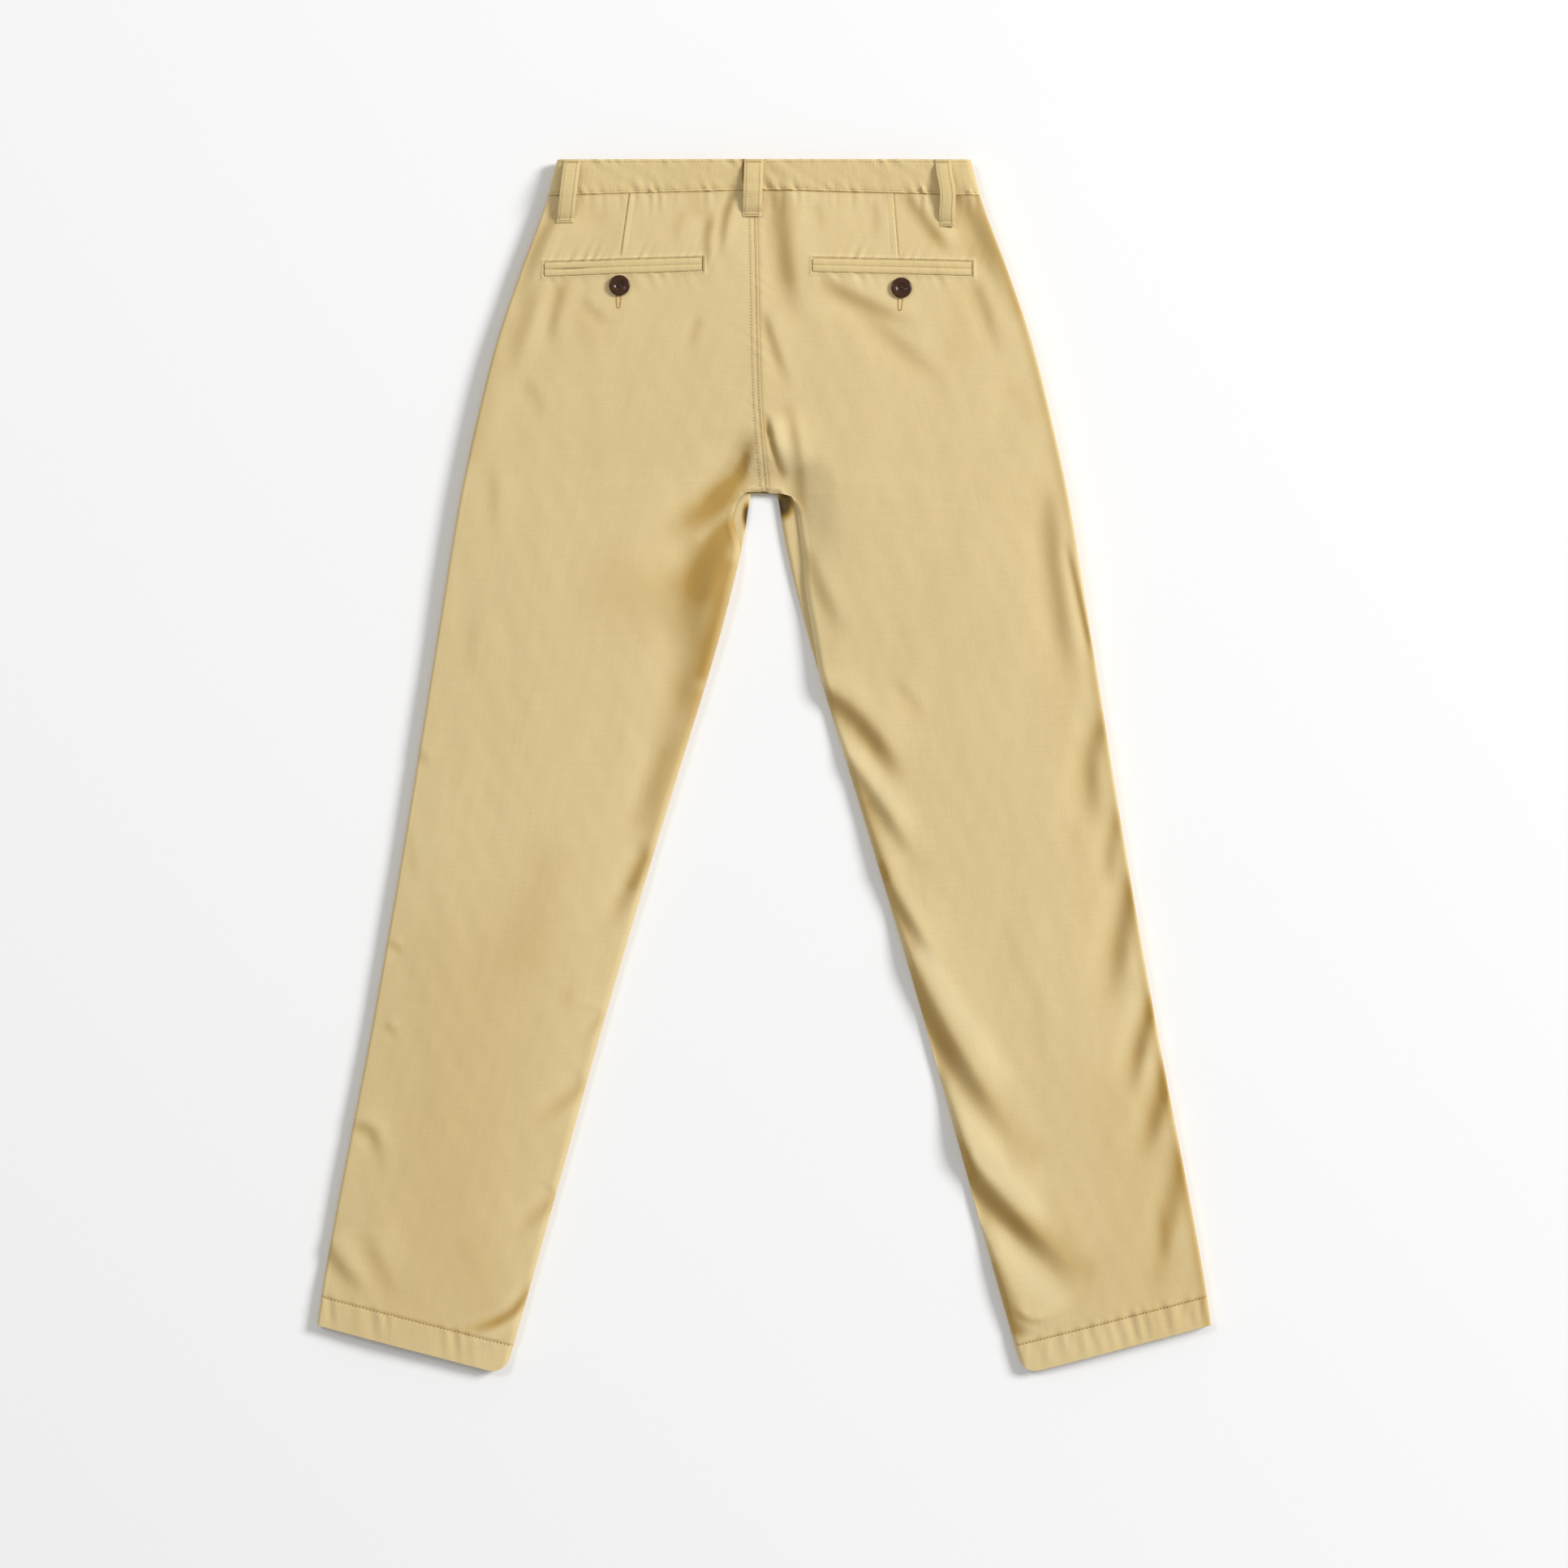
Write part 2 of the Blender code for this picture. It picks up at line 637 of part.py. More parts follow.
def band_spot(side, x, share, under, lift=0.0):
    """A place on the band's outer face: share 0 at its seam, 1 at its top edge."""
    seam_width = side_x(WAIST_SEAM_SIDE)
    top_width = side_x(WAIST_TOP)
    seam_y = waist_seam_y(x) + SEAM_GAP / 2
    y = seam_y + share * (WAIST_TOP - seam_y)
    wide = seam_width + share * (top_width - seam_width)
    x *= 1 + (wide / seam_width - 1) * smoothstep(0.0, BAND_FLARE_FROM, abs(x))
    section = Section(side, WAIST_SEAM_SIDE)
    from_side = max(wide - abs(x), 0.0)
    if under:
        radius = shoulder(WAIST_SEAM_SIDE)
        base = base_z(WAIST_SEAM_SIDE)
        middle = seam_z(WAIST_SEAM_SIDE)
        z = middle - (middle - base) * quarter_ellipse(from_side / radius)
        return x, y, z + lift
    radius = shoulder(WAIST_SEAM_SIDE)
    low = seam_z(WAIST_SEAM_SIDE)
    rise = top_z(WAIST_SEAM_SIDE) - low
    edges = quarter_ellipse(from_side / radius)
    slow = crown(section, min(from_side, section.width), 100.0)
    z = low + rise * edges * (RIDGE_SHARE + (1 - RIDGE_SHARE) * slow)
    return x, y, z + edges * fold_height(x, min(y, FOLDS_TOP))


def band_reach(start, turn):
    """x from one place to where the band turns, and then closer together round the side."""
    xs = [start + (turn[0] - start) * i / BAND_CELLS for i in range(BAND_CELLS)]
    return xs + turn


def make_waistband(parts, twill):
    wide = side_x(WAIST_SEAM_SIDE)
    radius = shoulder(WAIST_SEAM_SIDE)
    turn = [wide - radius * (1 - math.sin(math.radians(angle))) for angle in BAND_TURN]
    levels = (0.0, 0.5, 1.0)
    ends = {LEFT: BAND_INSERT[0] - SEAM_GAP / 2, RIGHT: BAND_INSERT[1] + SEAM_GAP / 2}
    step = BAND_WALL + SEAM_GAP
    for name, side in SIDES.items():
        over = band_reach(abs(ends[side]), turn)
        front_end = SEAM_GAP / 2 if side == LEFT else BAND_STEP_X
        under = band_reach(front_end, turn)
        rows = []
        for share in levels:
            row = [band_spot(side, side * x, share, False) for x in over]
            row.append(band_spot(side, side * wide, share, False))
            row += [band_spot(side, side * x, share, True) for x in reversed(under)]
            if side == RIGHT:
                row += [
                    band_spot(side, x, share, True, step * smoothstep(BAND_STEP_X, 2.0, x))
                    for x in BAND_TUCKED
                ]
            rows.append(row)
        cloth(f"waistband_{name}", rows, BAND_WALL, parts, twill, side == LEFT)
    count = 5
    first = BAND_INSERT[0] + SEAM_GAP / 2
    span = BAND_INSERT[1] - SEAM_GAP / 2 - first
    xs = [first + span * i / count for i in range(count + 1)]
    rows = [[band_spot(LEFT if x < 0 else RIGHT, x, share, False) for x in xs] for share in levels]
    cloth("waistband_centre", rows, BAND_WALL, parts, twill)


def loop_lift(share, length, bow):
    """How far a loop bows away from the band, 0 where its ends are sewn down."""
    end = LOOP_STITCHED / length
    if share < end or share > 1 - end:
        return 0.0
    return bow * math.sin(math.pi * (share - end) / (1 - 2 * end)) ** 0.6


def make_loops(parts, twill, backs, fronts):
    """Back loops lie on the band and the panel; front loops lie pressed beneath them."""
    for loop in BACK_LOOPS:
        length = LOOP_TOP - loop.y_bottom
        rows = []
        for i in range(LOOP_CELLS + 1):
            share = i / LOOP_CELLS
            y = LOOP_TOP - share * length
            middle = loop.x_top + share * (loop.x_bottom - loop.x_top)
            xs = (middle - loop.width / 2, middle, middle + loop.width / 2)
            high = max(on_top(backs, x, y)[0] for x in xs)
            z = high + SEAM_GAP + loop_lift(share, length, LOOP_BOW)
            rows.append([(x, y, z) for x in xs])
        cloth(loop.name, rows, LOOP_WALL, parts, twill, True, True)
    for loop in FRONT_LOOPS:
        length = LOOP_TOP - loop.y_bottom
        rows = []
        for i in range(LOOP_CELLS + 1):
            share = i / LOOP_CELLS
            y = LOOP_TOP - share * length
            middle = loop.x_top + share * (loop.x_bottom - loop.x_top)
            xs = (middle - loop.width / 2, middle, middle + loop.width / 2)
            low = min(under_side(fronts, x, y) for x in xs) - SEAM_GAP
            z = max(low - loop_lift(share, length, LOOP_PRESSED_BOW), LOOP_WALL + SEAM_GAP)
            rows.append([(x, y, z) for x in xs])
        cloth(loop.name, rows, LOOP_WALL, parts, twill, False, True)


def make_welts(parts, twill, trees):
    for welt in WELTS:
        lines = {"upper": (0.0, 0.5), "lower": (0.5, 1.0)}
        height = (welt.out_top - welt.out_bottom + welt.in_top - welt.in_bottom) / 2
        mouth = WELT_MOUTH / 2 / height
        for name, (first, last) in lines.items():
            first += mouth if name == "lower" else 0.0
            last -= mouth if name == "upper" else 0.0
            rows = []
            for down in (first, (first + last) / 2, last):
                row = []
                for i in range(WELT_CELLS + 1):
                    share = i / WELT_CELLS
                    x = welt.out_x + share * (welt.in_x - welt.out_x)
                    high = welt.out_top + share * (welt.in_top - welt.out_top)
                    low = welt.out_bottom + share * (welt.in_bottom - welt.out_bottom)
                    y = high + down * (low - high)
                    z, normal = on_top(trees, x, y)
                    gap = normal * WELT_GAP
                    row.append((x + gap.x, y + gap.y, z + gap.z))
                rows.append(row)
            flip = welt.side == "left"
            cloth(f"welt_{name}_{welt.side}", rows, WELT_WALL, parts, twill, flip, True)


def button_mesh(name):
    """A turned disc with a rim and a dished centre; its base is at z = 0."""
    profile = (
        (0.0, 0.55),
        (0.44, 0.55),
        (0.74, 0.96),
        (0.88, 1.0),
        (1.0, 0.6),
        (BUTTON_BASE, 0.0),
        (0.0, 0.0),
    )
    bm = bmesh.new()
    spots = [
        bm.verts.new((r * BUTTON_RADIUS * MM, 0, h * BUTTON_THICK * MM)) for r, h in profile
    ]
    for a, b in zip(spots, spots[1:]):
        bm.edges.new((a, b))
    bmesh.ops.spin(
        bm,
        geom=bm.verts[:] + bm.edges[:],
        cent=(0, 0, 0),
        axis=(0, 0, 1),
        angle=math.tau,
        steps=BUTTON_SIDES,
        use_duplicate=False,
    )
    bmesh.ops.remove_doubles(bm, verts=bm.verts, dist=1e-6)
    bmesh.ops.recalc_face_normals(bm, faces=bm.faces)
    mesh = bpy.data.meshes.new(name)
    bm.to_mesh(mesh)
    bm.free()
    mesh.shade_smooth()
    mesh.set_sharp_from_angle(angle=math.radians(40))
    return mesh


def make_button(button, z, normal, parts, cutters, material):
    obj = bpy.data.objects.new(button.name, button_mesh(button.name))
    parts.objects.link(obj)
    obj.data.materials.append(material)
    turn = normal.to_track_quat("Z", "Y")
    obj.rotation_mode = "QUATERNION"
    obj.rotation_quaternion = turn
    obj.location = Vector((button.x, button.y, z)) * MM
    for i in range(BUTTON_HOLES):
        angle = math.pi / 4 + i * math.tau / BUTTON_HOLES
        bm = bmesh.new()
        bmesh.ops.create_cone(
            bm,
            cap_ends=True,
            segments=8,
            radius1=BUTTON_HOLE_RADIUS * MM,
            radius2=BUTTON_HOLE_RADIUS * MM,
            depth=3 * BUTTON_THICK * MM,
        )
        mesh = bpy.data.meshes.new(f"{button.name}_hole_{i}")
        bm.to_mesh(mesh)
        bm.free()
        cutter = bpy.data.objects.new(mesh.name, mesh)
        cutters.objects.link(cutter)
        cutter.hide_render = True
        cutter.display_type = "WIRE"
        cutter.parent = obj
        ring = BUTTON_HOLE_RING * MM
        cutter.location = (ring * math.cos(angle), ring * math.sin(angle), 0)
        cut = obj.modifiers.new(f"Hole {i}", "BOOLEAN")
        cut.operation = "DIFFERENCE"
        cut.solver = "EXACT"
        cut.object = cutter
    return obj


def make_buttons(parts, cutters, material, trees):
    for button in BACK_BUTTONS:
        z, normal = on_top(trees, button.x, button.y)
        clear = 0.0
        for i in range(BUTTON_SIDES):
            angle = i * math.tau / BUTTON_SIDES
            reach = BUTTON_BASE * BUTTON_RADIUS
            x = button.x + reach * math.cos(angle)
            y = button.y + reach * math.sin(angle)
            here = Vector((x - button.x, y - button.y, on_top(trees, x, y)[0] - z))
            clear = max(clear, here.dot(normal))
        lift = normal * (clear + SEAM_GAP)
        seat = button._replace(x=button.x + lift.x, y=button.y + lift.y)
        make_button(seat, z + lift.z, normal, parts, cutters, material)
    z = base_z(WAIST_SEAM_SIDE) - SEAM_GAP
    make_button(WAIST_BUTTON, z, Vector((0, 0, -1)), parts, cutters, material)


def make_fly(parts, twill, tape):
    """Behind the left front's edge: the closed zip, and the shield behind it."""
    step = PANEL_WALL + SEAM_GAP
    zip_right = front_inner_x(RIGHT, FLY_TOP_Y) - SEAM_GAP
    bands = (
        ("fly_zip", zip_right - ZIP_WIDTH, zip_right, step, PANEL_WALL, tape),
        ("fly_shield", *SHIELD, 2 * step, PANEL_WALL, twill),
    )
    for name, left, right, lift, wall, material in bands:
        rows = []
        for i in range(FLY_ROWS + 1):
            y = FLY_TOP_Y + (FLY_END_Y - FLY_TOP_Y) * i / FLY_ROWS
            z = base_z(y - 3.0) + lift
            rows.append([(left + (right - left) * k / 3, y, z) for k in range(4)])
        cloth(name, rows, wall, parts, material)


def main():
    clear_scene()
    parts = new_collection("Chino trousers")
    cutters = new_collection("Cutters")
    twill = finish_material("cotton twill", (0.69, 0.55, 0.29), 0.85)
    tape = finish_material("zip tape", (0.52, 0.42, 0.24), 0.7)
    horn = finish_material("dark button", (0.045, 0.024, 0.016), 0.25)
    panels = make_panels(parts, twill)
    make_pocket_facings(parts, twill)
    make_waistband(parts, twill)
    bpy.context.view_layer.update()
    backs = [shell_tree(panels["back_left"]), shell_tree(panels["back_right"])]
    fronts = [shell_tree(panels["front_left"]), shell_tree(panels["front_right"])]
    names = ("waistband_left", "waistband_centre", "waistband_right")
    bands = [shell_tree(bpy.data.objects[name]) for name in names]
    make_loops(parts, twill, backs + bands, fronts + bands)
    make_welts(parts, twill, backs)
    make_buttons(parts, cutters, horn, backs)
    make_fly(parts, twill, tape)


main()
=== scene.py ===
# %% [markdown]
# # Chino trousers, laid flat with the back upward
# Cotton twill trousers lie on a pale floor. The two fronts are underneath and the two backs on
# top, and the seams between them stand a few millimetres high, so the legs are flat tubes. The
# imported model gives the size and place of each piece. This file dresses it: cloth with its folds
# and puckers, thread in every seam, bound buttonholes and polished buttons.

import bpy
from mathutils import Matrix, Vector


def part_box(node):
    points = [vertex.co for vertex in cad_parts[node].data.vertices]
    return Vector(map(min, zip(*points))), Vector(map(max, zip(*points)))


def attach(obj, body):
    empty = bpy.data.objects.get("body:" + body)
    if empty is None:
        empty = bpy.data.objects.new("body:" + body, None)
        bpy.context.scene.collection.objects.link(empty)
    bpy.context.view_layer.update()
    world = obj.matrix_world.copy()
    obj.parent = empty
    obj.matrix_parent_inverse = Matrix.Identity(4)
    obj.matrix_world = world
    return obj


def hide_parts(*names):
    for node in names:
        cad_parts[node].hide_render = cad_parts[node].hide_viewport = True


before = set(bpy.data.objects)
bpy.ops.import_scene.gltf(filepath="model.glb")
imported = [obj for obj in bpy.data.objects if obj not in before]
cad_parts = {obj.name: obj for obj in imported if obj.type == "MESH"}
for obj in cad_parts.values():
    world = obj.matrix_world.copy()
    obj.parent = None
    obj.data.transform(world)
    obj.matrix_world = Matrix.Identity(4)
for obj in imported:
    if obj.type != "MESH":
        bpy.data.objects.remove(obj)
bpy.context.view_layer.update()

# %% [markdown]
# ## Camera, light and floor
# A garment laid out for a picture is seen from straight above. A long lens from high up keeps the
# sides from leaning outwards. One broad soft light comes low from the right, so every fold has a
# bright flank and a dark one. A weaker one on the left and a pale, even sky fill the shade.

# %% Camera, light and floor
import math
import random
from collections import namedtuple

import bpy
import numpy as np
from mathutils import Matrix, Vector
from mathutils.bvhtree import BVHTree

MM = 0.001
LENS, SENSOR = 100.0, 36.0
FRAME_WIDTH = 1.42          # metres of floor across the picture
FRAME_CENTRE = (0.0180, -0.0169)
CLOTH_HEIGHT = 0.005
FLOOR_SIZE, FLOOR_DROP = 9, -0.0004
SKY_STRENGTH = 0.415

scene = bpy.context.scene
scene.view_settings.view_transform = "Standard"


def deselect():
    bpy.ops.object.select_all(action="DESELECT")


def look_down_camera():
    height = CLOTH_HEIGHT + FRAME_WIDTH * LENS / SENSOR
    bpy.ops.object.camera_add(location=(*FRAME_CENTRE, height), rotation=(0, 0, 0))
    camera = bpy.context.object
    camera.data.lens, camera.data.sensor_width = LENS, SENSOR
    scene.camera = camera
    return height


def soft_light(name, place, size, power):
    """A round lamp that looks at the middle of the floor."""
    bpy.ops.object.light_add(type="AREA", location=place)
    light = bpy.context.object
    light.name = name
    light.data.shape, light.data.size, light.data.energy = "DISK", size, power
    light.rotation_euler = (-Vector(place)).to_track_quat("-Z", "Y").to_euler()


def new_finish(name, **values):
    """A material, with values for its shader's sockets; __ stands for a space."""
    finish = bpy.data.materials.new(name)
    finish.use_nodes = True
    shader = finish.node_tree.nodes["Principled BSDF"]
    for key, value in values.items():
        shader.inputs[key.replace("__", " ")].default_value = value
    return finish, finish.node_tree, shader


deselect()
camera_height = look_down_camera()
soft_light("Key", (8.3, 3.65, 6.0), 3.6, 1080)
soft_light("Fill", (-4.2, 3.4, 6.6), 2.2, 120)
scene.world = bpy.data.worlds.new("Sky")
scene.world.use_nodes = True
sky = scene.world.node_tree.nodes["Background"].inputs
sky["Color"].default_value, sky["Strength"].default_value = (1, 1, 1, 1), SKY_STRENGTH

deselect()
bpy.ops.mesh.primitive_grid_add(x_subdivisions=4, y_subdivisions=4, size=FLOOR_SIZE)
floor = bpy.context.object
floor.name = "floor"
floor.data.transform(Matrix.Translation((0, 0, FLOOR_DROP)))
floor_paint = new_finish("floor paint", Base__Color=(0.9, 0.9, 0.9, 1), Roughness=0.9)[0]
floor.data.materials.append(floor_paint)
print("camera height:", round(camera_height, 3))

# %% [markdown]
# ## The cut, as curves
# A pattern cutter draws a side line, an inseam and a centre back line. Each is a short table of
# points here, with a smooth curve through them that never overshoots. The heights of a laid leg
# are tables too: the surface it lies on, the seam, and the crown between the seams.

# %% Curves of the cut
LEFT, RIGHT = -1, 1
SIDES = {"left": LEFT, "right": RIGHT}
PANEL_WALL, HEM_WALL, BAND_WALL, LOOP_WALL, WELT_WALL = 1.2, 2.2, 2.2, 1.5, 0.5
SEAM = 0.06                 # the hair's breadth between two pieces that are sewn together
CAD_GAP = 0.3               # the gap between two pieces that only touch
RIM = 1.0                   # how deep a panel's edge turns in
CURL = 4.0                  # how far in from a seam the front leaves the floor
CROTCH_Y, CROTCH_HALF, CROTCH_DROP = 246.0, 12.0, 0.4
CROTCH_BEND, CROTCH_REACH = 14.0, 45.0
HEM_CORNER = 15.0
WAIST_TOP, WAIST_SIDE_Y, WAIST_CENTRE_Y = 547.5, 514.5, 519.4
ROW_BEND = (170.0, 240.0, 250.0, 310.0)     # heights at which the rows dip to the crotch
CRISP_EDGE = (150.0, 225.0, 260.0, 300.0)   # heights at which a back's inner edge is thin
SEAT_BLEND = (150.0, 275.0)                 # from a crown on each leg to one on the seat


def curve(*rows):
    """A smooth function through (place, value) rows, with no overshoot."""
    places, values = np.array(sorted(rows), float).T
    steps = np.diff(places)
    slopes = np.diff(values) / steps
    before, after = slopes[:-1], slopes[1:]
    same_way = before * after > 0
    middle = np.where(same_way, 2 * before * after / np.where(same_way, before + after, 1), 0)
    tangents = np.concatenate(([slopes[0]], middle, [slopes[-1]]))

    def value(place):
        place = np.clip(place, places[0], places[-1])
        i = np.clip(np.searchsorted(places, place, side="right") - 1, 0, len(steps) - 1)
        t = (place - places[i]) / steps[i]
        rise = values[i + 1] - values[i]
        start, end = tangents[i] * steps[i], tangents[i + 1] * steps[i]
        bend = t * t * (3 * rise - 2 * start - end)
        return values[i] + t * start + bend + t**3 * (start + end - 2 * rise)

    return value


side_x = curve(
    (547.5, 187.0), (518.0, 194.4), (443.0, 222.0), (384.0, 242.0), (326.0, 257.0),
    (237.0, 276.4), (120.0, 295.5), (-57.0, 324.0), (-233.0, 354.6), (-409.0, 388.5),
    (-468.0, 399.0), (-506.4, 404.8),
)
inseam_x = curve(
    (245.6, 12.0), (237.0, 13.6), (208.0, 18.0), (179.0, 24.3), (120.0, 39.3), (61.0, 56.6),
    (2.0, 75.0), (-115.0, 110.7), (-233.0, 145.5), (-409.0, 194.4), (-498.0, 219.4),
    (-551.2, 234.5),
)
centre_back_x = curve((547.5, -8.0), (495.0, -6.2), (340.0, -2.9), (246.0, 4.5))
back_inset = {
    LEFT: curve((246.0, 3.0), (236.0, 9.0), (222.0, 11.5), (192.0, 0.5), (165.0, 0.0)),
    RIGHT: curve(
        (246.0, 0.5), (236.0, 12.0), (222.0, 14.0), (192.0, 13.0), (165.0, 8.5),
        (121.0, 4.5), (85.0, 0.0),
    ),
}
Station = namedtuple("Station", "side_y in_y base seam top shoulder")
STATIONS = [Station(*row) for row in (
    (514.5, 519.4, 3.6, 10.3, 17.0, 7.0),
    (455.0, 459.0, 1.0, 8.0, 19.0, 8.0),
    (441.0, 445.0, 0.0, 7.0, 19.0, 8.5),
    (375.0, 378.0, 0.0, 5.5, 20.0, 9.0),
    (352.0, 355.0, 0.0, 5.3, 20.2, 9.0),
    (300.0, 302.0, 0.0, 5.0, 20.5, 9.0),
    (258.0, 258.0, 0.0, 4.7, 20.0, 9.0),
    (253.0, 251.0, 0.0, 4.6, 20.0, 9.0),
    (249.0, 246.0, 0.0, 4.5, 20.0, 9.0),
    (243.0, 245.6, 0.0, 4.5, 20.0, 9.0),
    (233.0, 237.0, 0.0, 4.5, 19.8, 9.0),
    (219.0, 222.0, 0.0, 4.4, 19.5, 9.0),
    (175.0, 179.0, 0.0, 4.3, 18.5, 9.0),
    (63.0, 61.0, 0.0, 4.2, 16.0, 8.0),
    (-100.0, -115.0, 0.0, 4.0, 14.5, 8.0),
    (-290.0, -318.0, 0.0, 4.0, 13.5, 8.0),
    (-480.4, -524.8, 0.0, 4.0, 12.5, 7.5),
    (-506.4, -551.2, 0.0, 4.0, 12.0, 7.0),
)]
HEM_LINE, HEM_END = STATIONS[-2], STATIONS[-1]
inner_y, base_z, seam_z, top_z, shoulder = (
    curve(*[(station.side_y, station[i]) for station in STATIONS]) for i in range(1, 6)
)


def smoothstep(start, end, value):
    t = np.clip((value - start) / (end - start), 0.0, 1.0)
    return t * t * (3 - 2 * t)


def window(value, start, full, fading, end):
    """1 between full and fading, and 0 outside start and end."""
    return smoothstep(start, full, value) * smoothstep(end, fading, value)


def ridge(off, width):
    """1 on a line and next to nothing two widths away from it."""
    return np.exp(-((off / width) ** 2))


def quarter_ellipse(t):
    """0 at an edge, rising upright from it and level from t = 1."""
    return np.sqrt(np.maximum(1 - (1 - np.clip(t, 0.0, 1.0)) ** 2, 0.0))


def inset_at(side, y):
    return np.where(y > CROTCH_Y, 0.0, back_inset[side](y))


def to_inner_line(x, y):
    """Plan distance to the crotch's lower edge and the inseams below it."""
    low = CROTCH_Y - CROTCH_DROP
    over = np.hypot(np.maximum(np.abs(x) - CROTCH_HALF, 0.0), y - low)
    slope = (inseam_x(y - 5) - inseam_x(y + 5)) / 10
    leg = (np.abs(x) - inseam_x(y)) / np.hypot(1, slope)
    return np.where(y >= low, over, leg)


print("side at the hem:", float(side_x(HEM_LINE.side_y)), "inseam:", float(inseam_x(-233.0)))

# %% [markdown]
# ## Folds, one row for each
# Real folds are uneven: each has its own length, depth and bend. What the eye reads is the steep
# flank where the cloth drops from a crest into a hollow, so a row gives three points of that
# flank, from its upper end to its lower one, with the crest always on its right. Then come the
# drop, the widths of the crest and of the hollow, and how the fold fades at both ends. Folds
# start where cloth is held, at a seam or the crotch, and die away in the open cloth.

